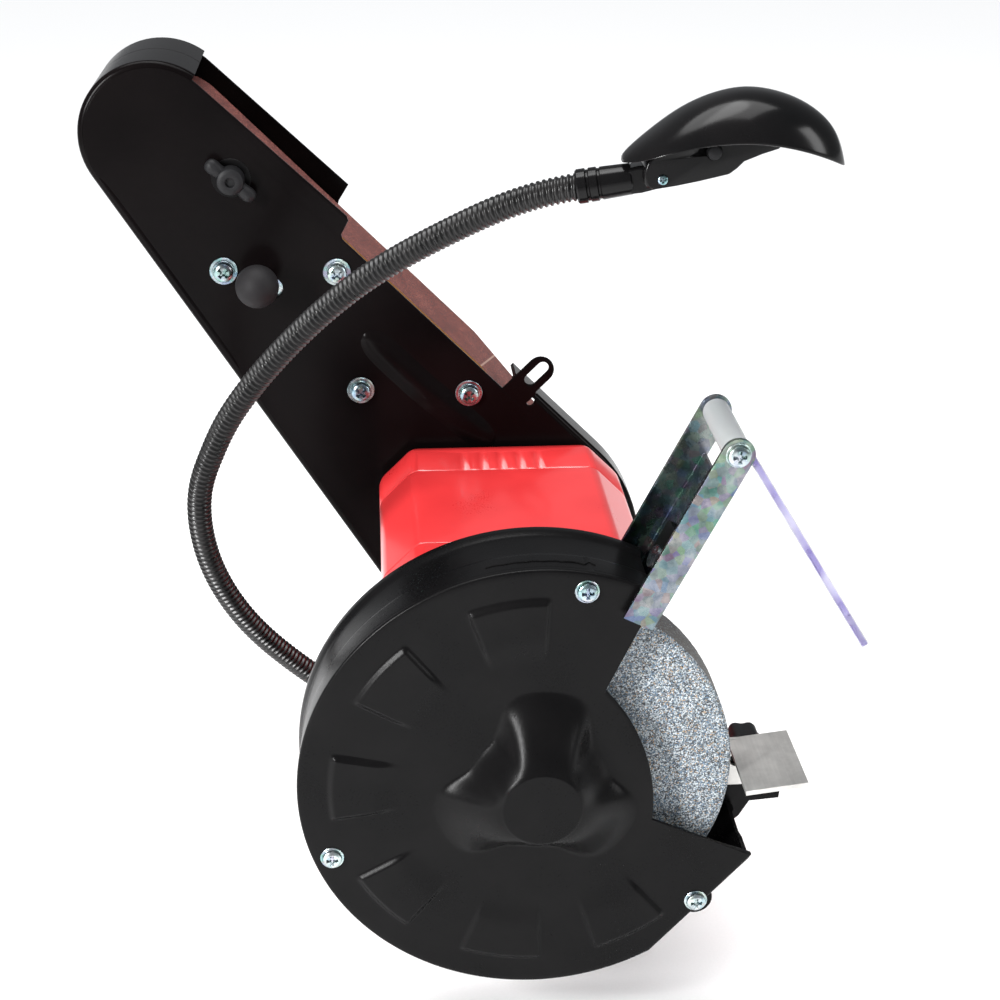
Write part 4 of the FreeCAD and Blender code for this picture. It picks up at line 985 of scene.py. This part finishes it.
ARM_BLACK = gloss_black()
near_shapes = joined(near_plate, folded_wall(ARM_NEAR, 30, 1, 17),
                     pressed_rib([(121, 34.5), (84, 34.2), (40, 36.6)], 15, 1.7, ARM_NEAR),
                     pressed_rib([(252, 6.5), (200, -5.5), (150, -17)], 3.2, 0.35, ARM_NEAR))
piece("arm_near_half", near_shapes, ARM_BLACK, "arm", ["arm_plate"], place=ARM, sharp=34)
FAR_FRONT = 53.0
far_outline = []
for spot in arm_edge(2.5, False):
    if in_front(spot):
        spot = (spot[0], FAR_FRONT) if spot[0] > 0 else tuple(Vector(spot).normalized() * FAR_FRONT)
    far_outline.append(spot)
far_outline += [(BELT_START + 2, FAR_FRONT - 1), (BELT_START + 4, 54.5), (BELT_END - 2, 56.5),
                (BELT_END, 60), (BELT_END + 2, HEEL_RADIUS)]
far_plate = sheet_plate([far_outline, turned_round((0, 0), 8)], ARM_FAR - ARM_SHEET, ARM_SHEET, 0.5)
piece("arm_far_half", joined(far_plate, folded_wall(ARM_FAR, 30.7, -1, 0)), ARM_BLACK, "arm", ["arm_cover"],
      place=ARM, sharp=34)
ARM_BOLTS = ((186, 12.7), (149.7, 47.1), (103.4, 13.9), (66.5, 47.2))
bolt_shapes = []
for centre in ARM_BOLTS:
    bolt_shapes += [cross_head(70.0, centre, 4.4, 2.6), disc_washer(ARM_NEAR, centre, 2.6, 6.2, 0.9),
                    disc_washer(71.1, centre, 2.6, 4.9, 0.9),
                    turned([(ARM_FAR, 0.05), (ARM_FAR, 6), (ARM_FAR + 0.8, 6), (ARM_FAR + 0.8, 4.6),
                            (ARM_FAR + 3.6, 4.6), (ARM_FAR + 4, 4.1), (ARM_FAR + 4, 0.05)], centre, 6)]
piece("arm_bolt_heads", joined(*bolt_shapes), ZINC, "arm", ["arm_bolts"], place=ARM)
refinish(ZINC, "arm_spacers", "arm_retaining_ring")
refinish(BLACK, "platen")

# ===== sanding belt ===============================================================
# A 50 mm loop of red-brown aluminium oxide cloth, taped where its ends meet, runs
# over the drive wheel, the flat platen and the idler at the arm's tip.


def oxide_cloth():
    finish = Finish("abrasive_cloth")
    grains = finish.cells(0.5, "Color")
    tone = finish.node("SeparateColor", None, {0: grains}, "Red")
    worn = finish.cloud(20, 3.0, 0.6)
    grit = finish.ramp(tone * 0.7 + worn * 0.3, (0.1, (0.03, 0.007, 0.006)), (0.9, (0.36, 0.12, 0.09)),
                       (0.45, (0.1, 0.022, 0.018)), (0.7, (0.17, 0.045, 0.035)))
    edge = finish.lies_flat("X").over(0.75, 0.1)
    across = (finish.axis("Y") + (finish.axis("Z") - 120)) * 0.7071
    up = ((finish.axis("Z") - 120) - finish.axis("Y")) * 0.7071
    splice_line = (1 - (across + finish.axis("X") * 0.32 - 95.0).size()).over(0.35, 0.4) * up.over(50, 1)
    taped = finish.blend(splice_line * 0.7, grit, (0.45, 0.3, 0.24))
    finish.done(Base_Color=finish.blend(edge, taped, (0.62, 0.27, 0.07)), Roughness=tone * 0.25 + 0.65,
                Normal=finish.relief(tone, 0.22, 0.8))
    return finish


CLOTH = oxide_cloth()
LOOP_DRIVE, LOOP_IDLER, BELT_LEFT, BELT_RIGHT = 49.9, 24.6, 77.5, 127.5
IDLER = Vector((238, 33.5))
PLATEN_UNDER = 58.05


def belt_line(offset):
    """The loop's points: platen run, idler, slack back run and drive wheel."""
    drive, idler = LOOP_DRIVE + offset, LOOP_IDLER + offset
    level = PLATEN_UNDER + offset
    platen_low = Vector((70, level))
    lead_in = math.degrees(math.acos(drive / platen_low.length)) + math.degrees(math.atan2(level, 70))
    tilt = math.degrees(math.atan2(IDLER.y, IDLER.x))
    tilt += math.degrees(math.asin((LOOP_DRIVE - LOOP_IDLER) / IDLER.length))
    path = [(70 + 97 * step / 10, level) for step in range(11)]
    path += arc_points(IDLER, idler, 90, tilt - 90, 30)
    path += arc_points((0, 0), drive, tilt - 90, lead_in - 360, 70)
    return path


outer_line, inner_line = belt_line(1.2), belt_line(0.0)
loop_rings = []
for outer, inner in zip(outer_line, inner_line):
    ring = [(BELT_LEFT + (BELT_RIGHT - BELT_LEFT) * step / 8, *outer) for step in range(9)]
    loop_rings.append(ring + [(BELT_RIGHT, *inner), (BELT_LEFT, *inner)])
piece("grit_belt", skinned(loop_rings, capped=False, closed=True), CLOTH, "arm", ["sanding_belt"],
      place=ARM, sharp=45)

# ===== tension and tracking ========================================================
# A ball knob on the sliding carriage slackens the belt, and a wing knob on a black
# washer steers it. Both knobs are moulded.
BALL = (173.3, 21.7)
BALL_TOP, BALL_RADIUS = 46.5, 9.5
ball_profile = arc_points((BALL_TOP + BALL_RADIUS, 0), BALL_RADIUS, 180, 36, 24)
ball_profile[0] = (BALL_TOP, 0.05)
ball_profile += [(61.5, 6.1), (62.3, 5.2), (63.2, 4.9), (64.4, 4.9), (64.4, 3.9), (73.9, 3.9), (73.9, 0.05)]
BALL_RUBBER = moulded("soft_knob", "rubber", (0.014, 0.013, 0.014), 0.55, 0.5, 0.03)
piece("ball_knob", turned(ball_profile, BALL, 64), BALL_RUBBER, "tension_slide_group", ["tension_knob"],
      place=ARM)
WING = (211.6, 46)
hub = [(63.2, 2.2), (63.0, 3.4), (63.2, 4.6), (63.8, 5.6), (65, 6), (70.6, 6), (71.4, 5.6), (71.6, 3),
       (75.2, 3), (75.2, 0.05)]
recess = [(64.6, 0.05), (64.6, 2.0)]
wing_ring = disc_washer(71.9, WING, 3.2, 8.6, 0.35)


def wing(sign):
    """One thumb wing: a rounded tongue that thins towards its end."""
    heading = math.radians(175)
    run = Vector((math.cos(heading), math.sin(heading))) * sign
    across = Vector((-run.y, run.x))
    rings = []
    for reach, half, near, far in ((4, 3.0, 64.6, 70.8), (7, 3.1, 64.2, 70.4), (9.5, 3.4, 63.9, 70),
                                   (11.2, 3.1, 64.2, 69.8), (12.4, 2.2, 65, 69), (12.9, 0.9, 66, 68)):
        middle, tall = (near + far) / 2, (far - near) / 2
        ring = []
        for step in range(20):
            turn = math.tau * step / 20
            spot = Vector(WING) + run * reach + across * half * math.sin(turn)
            ring.append((middle + tall * math.cos(turn), *spot))
        rings.append(ring)
    return skinned(rings)


piece("wing_knob", joined(turned(recess + hub, WING, 40), wing(1), wing(-1)), BLACK_PLASTIC, "tracking",
      ["tracking_knob"], place=ARM)
piece("wing_washer", wing_ring, BLACK, "arm", place=ARM)
refinish(ZINC, "tension_carriage", "idler_axle")
refinish(plain_metal("spring_steel", "spring_steel", (0.45, 0.46, 0.48), 0.22), "tension_spring")

# ===== work light =================================================================
# A lacquered corrugated neck stands in a socket on the base's back bracket. The
# moulded head tilts on its collar and has a push button and a lens below.
refined_node("light_bracket", BLACK, "base", 0.6, piece_name="neck_bracket")
SOCKET = [(52, 0.05), (52, 7.2), (52.6, 7.8), (62, 7.8), (64.6, 7.2), (65.8, 6.2), (66, 5.2), (66, 0.05)]
piece("neck_ferrule", upright(turned(SOCKET, steps=48), -14, 64), BLACK_PLASTIC, "base", ["neck_socket"])
NECK = [(-14, 64, 66), (-14, 64, 84), (-21, 86, 106), (-29, 112, 134), (-36, 128, 168), (-42, 130, 202),
        (-46, 122, 221), (-50, 114, 240), (-58, 89, 272), (-68, 60, 300), (-79, 28, 320),
        (-89.4, 2.8, 334.5), (-92, -15.5, 337.8)]
NECK_TUBE, NECK_PITCH, NECK_GROOVE = 4.55, 2.15, 0.4


def neck_line(step_length):
    """Even steps along the neck's smooth line."""
    line = bpy.data.curves.new("neck_line", "CURVE")
    line.dimensions = "3D"
    spline = line.splines.new("NURBS")
    spline.points.add(len(NECK) - 1)
    for vertex, spot in zip(spline.points, NECK):
        vertex.co = (*spot, 1)
    spline.order_u = 4
    spline.use_endpoint_u = True
    spline.resolution_u = 40
    holder = bpy.data.objects.new("neck_line", line)
    traced = [vertex.co.copy() for vertex in bpy.data.meshes.new_from_object(holder).vertices]
    bpy.data.objects.remove(holder)
    reached, spots = 0.0, [traced[0]]
    for before, after in zip(traced, traced[1:]):
        length = (after - before).length
        while length and reached + length >= step_length * len(spots):
            spots.append(before.lerp(after, (step_length * len(spots) - reached) / length))
        reached += length
    return spots


neck_spots = neck_line(NECK_PITCH / 6)
neck_rings = []
facing = Vector((1, 0, 0))
for index, spot in enumerate(neck_spots):
    run = (neck_spots[min(len(neck_spots) - 1, index + 1)] - neck_spots[max(0, index - 1)]).normalized()
    facing = (facing - run * facing.dot(run)).normalized()
    third = run.cross(facing)
    ring = []
    for step in range(24):
        turn = math.tau * step / 24
        wave = math.cos(math.tau * index / 6 + turn)
        radius = NECK_TUBE + NECK_GROOVE * (0.35 + 0.65 * wave if wave > -0.2 else -0.9)
        ring.append(tuple(spot + (facing * math.cos(turn) + third * math.sin(turn)) * radius))
    neck_rings.append(ring)
neck_finish = Finish("gloss_black_paint", "neck_lacquer")
neck_wear = neck_finish.cloud(6, 3.0)
neck_finish.done(Base_Color=neck_finish.ramp(neck_wear, (0.3, (0.004, 0.004, 0.004)),
                                             (0.75, (0.012, 0.011, 0.011))),
                 Roughness=neck_wear * 0.15 + 0.22, Specular_IOR_Level=0.35,
                 Normal=neck_finish.relief(neck_finish.cloud(0.6, 2.0), 0.02, 0.5))
neck = piece("gooseneck", skinned(neck_rings), neck_finish, None, ["gooseneck_lower", "gooseneck_upper"],
             sharp=60)
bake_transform(neck)


def lamp_gloss():
    finish = Finish("gloss_black_plastic")
    flow = finish.cloud(22, 3.0)
    fine = finish.cloud(0.8, 2.0)
    finish.done(Base_Color=finish.ramp(flow, (0.3, (0.003, 0.003, 0.0032)),
                                       (0.75, (0.0055, 0.005, 0.0052))), Roughness=flow * 0.08 + 0.13,
                Specular_IOR_Level=0.16, Normal=finish.relief(fine * 0.3 + flow, 0.03, 0.4))
    return finish


GLOSS_PLASTIC = lamp_gloss()
COLLAR_START, COLLAR_WAY = Vector((-92, -15.5, 337.8)), Vector((-2.6, -18.3, 3.3)).normalized()
collar_frame = Matrix.Translation(COLLAR_START) @ COLLAR_WAY.to_track_quat("X", "Z").to_matrix().to_4x4()
COLLAR = [(-1.2, 0.05), (-1.2, 5.6), (-0.6, 6.1), (2.2, 6.1), (2.6, 5.5), (3.2, 5.5), (3.6, 6.0),
          (6.2, 6.0), (6.6, 5.4), (7.2, 5.4), (7.6, 5.8), (18, 5.5), (18.4, 5.1), (18.4, 0.05)]
collar = turned(COLLAR, steps=40)
fork_rings = [[(x, y, z) for y, z in round_slab((0, 0), half, 1.2, 3)]
              for x, half in ((17.5, (4.6, 4.6)), (21, (4.4, 4.8)), (26, (3.9, 4.4)), (28.6, (3.6, 3.8)),
                              (29.6, (2.6, 2.8)))]
piece("neck_end", joined(collar, skinned(fork_rings)), GLOSS_PLASTIC, "upper_neck", ["neck_collar"],
      place=collar_frame)

LAMP_MIDDLE, LAMP_BACK, LAMP_FRONT = -96.0, -29.6, -107.3
CROWN = ((-29.3, 348.9), (-31, 351.2), (-39, 357.5), (-48.1, 364.6), (-57.2, 369.3), (-66.4, 372),
         (-73.6, 372.6), (-81.6, 371.5), (-91.2, 368.3), (-99.4, 362.8), (-104.1, 356.8), (-106.4, 349.5),
         (-107.1, 345.4))
ARCH_MIDDLE, ARCH_LOW, ARCH_RADIUS = -67.5, 283.8, 73.4
HOOD_LEVEL, HINGE_RIM = 346.0, 348.3


def lamp_skin(inset):
    """Sections across the head, from its hinge to its front lip, over an arched rim."""
    rings = []
    for y, crown in CROWN:
        share = (y - (LAMP_BACK + LAMP_FRONT) / 2) / ((LAMP_FRONT - LAMP_BACK) / 2 * 1.005)
        share = min(1.0, max(-1.0, share))
        swell = math.sqrt(1 - share * share)
        half = (7.5 + 14.5 * swell) if share < 0 else 22 * swell
        half = max(0.6, min(half, 22 * math.sqrt(max(0.02, 1 - share ** 2)) + 3.0 * (share < 0)) - inset)
        rim = ARCH_LOW + math.sqrt(ARCH_RADIUS ** 2 - (y - ARCH_MIDDLE) ** 2)
        rim = min(max(rim, HINGE_RIM) if y > ARCH_MIDDLE else rim, crown - 0.5)
        tall = max(0.5, crown - inset - HOOD_LEVEL)
        wide = math.acos(min(0.97, max(0.0, (rim - HOOD_LEVEL) / tall)))
        ring = []
        for step in range(25):
            angle = wide * (step - 12) / 12
            across = half * math.copysign(abs(math.sin(angle)) ** 0.85, angle)
            ring.append((LAMP_MIDDLE + across, y + inset * 0.3, HOOD_LEVEL + tall * math.cos(angle)))
        rings.append(ring)
    return rings


outer_skin, inner_skin = lamp_skin(0.0), lamp_skin(1.7)
shell_rings = [outer + inner[::-1] for outer, inner in zip(outer_skin, inner_skin)]
lamp = piece("lamp_hood", skinned(shell_rings), GLOSS_PLASTIC, "lamp_head", ["lamp_shell"], sharp=50)
smooth_hood = lamp.modifiers.new("moulded_curve", "SUBSURF")
smooth_hood.levels = smooth_hood.render_levels = 2

frame_side = [(-36.2, 345.4), (-36.2, 341.6), (-37.2, 340), (-39.8, 339.2), (-47, 340.3), (-55.5, 341.8),
              (-66, 344.2), (-68.6, 346.2), (-71, 348.6), (-77, 351), (-82.7, 352.8), (-84.6, 354.6),
              (-85, 360.5), (-78, 366), (-66, 367), (-50, 360), (-42, 354), (-37.4, 349)]
arm_rings = [[(x, y - shrink * (1 if y > -55 else -1), z) for y, z in frame_side]
             for x, shrink in ((-103.4, 0.8), (-102.8, 0.0), (-89.2, 0.0), (-88.6, 0.8))]
LED_ALONG, BUTTON_PLACE, PIN_PLACE = -84, (-60, 352), (-42.6, 342.6)
SEAT = [(359, 0.05), (359, 9.7), (357.6, 9.9), (355.6, 10.1), (355.2, 10.5), (355.5, 11), (358, 11.4),
        (360.6, 11.2), (361, 10.8), (361, 0.05)]
chassis = piece("lamp_chassis", skinned(arm_rings), GLOSS_PLASTIC, "lamp_head", ["lamp_frame"], sharp=30,
                bevel=0.6)
piece("lamp_seat", upright(turned(SEAT, steps=64), LAMP_MIDDLE, LED_ALONG), GLOSS_PLASTIC, "lamp_head",
      sharp=30)
button_way = piece("button_way", turned([(-106, 2.85), (-92, 2.85)], BUTTON_PLACE, 32), GLOSS_PLASTIC, None)
carve(chassis, button_way, 30)


def lens_cover():
    finish = Finish("lens")
    ripple = finish.cells(2.6)
    haze = finish.cloud(7, 2.0)
    finish.done(Base_Color=finish.ramp(haze, (0.3, (0.9, 0.92, 0.94)), (0.7, (0.97, 0.97, 0.98))),
                Roughness=haze * 0.1 + 0.12, Transmission_Weight=1.0, IOR=1.46,
                Normal=finish.relief(ripple, 0.4, 0.6))
    return finish


LENS = lens_cover()
lens_profile = [(357.4, 0.05), (357.4, 9.6), (356.3, 9.6), (355.7, 8.8), (355.5, 6), (355.4, 0.05)]
piece("lamp_lens_cover", upright(turned(lens_profile, steps=64), LAMP_MIDDLE, LED_ALONG), LENS, "lamp_head",
      ["lamp_lens"])
refinish(moulded("led_board", "pale_plastic", (0.75, 0.74, 0.68), 0.4), "led_board")
piece("lamp_push", turned([(-105.5, 0.05), (-105.5, 1.5), (-105.2, 2.3), (-104.4, 2.6), (-101.6, 2.6),
                           (-101.6, 0.05)], BUTTON_PLACE, 32), BLACK_PLASTIC, "lamp_switch", ["lamp_button"])
pivot = [cross_head(-103.2, PIN_PLACE, 1.9, 1.2, 24),
         turned([(-103.4, 0.05), (-103.4, 1.4), (-88.5, 1.4), (-88.5, 0.05)], PIN_PLACE, 24)]
piece("lamp_pivot_screw", joined(*pivot), ZINC, "lamp_head", ["lamp_pivot_pin"])
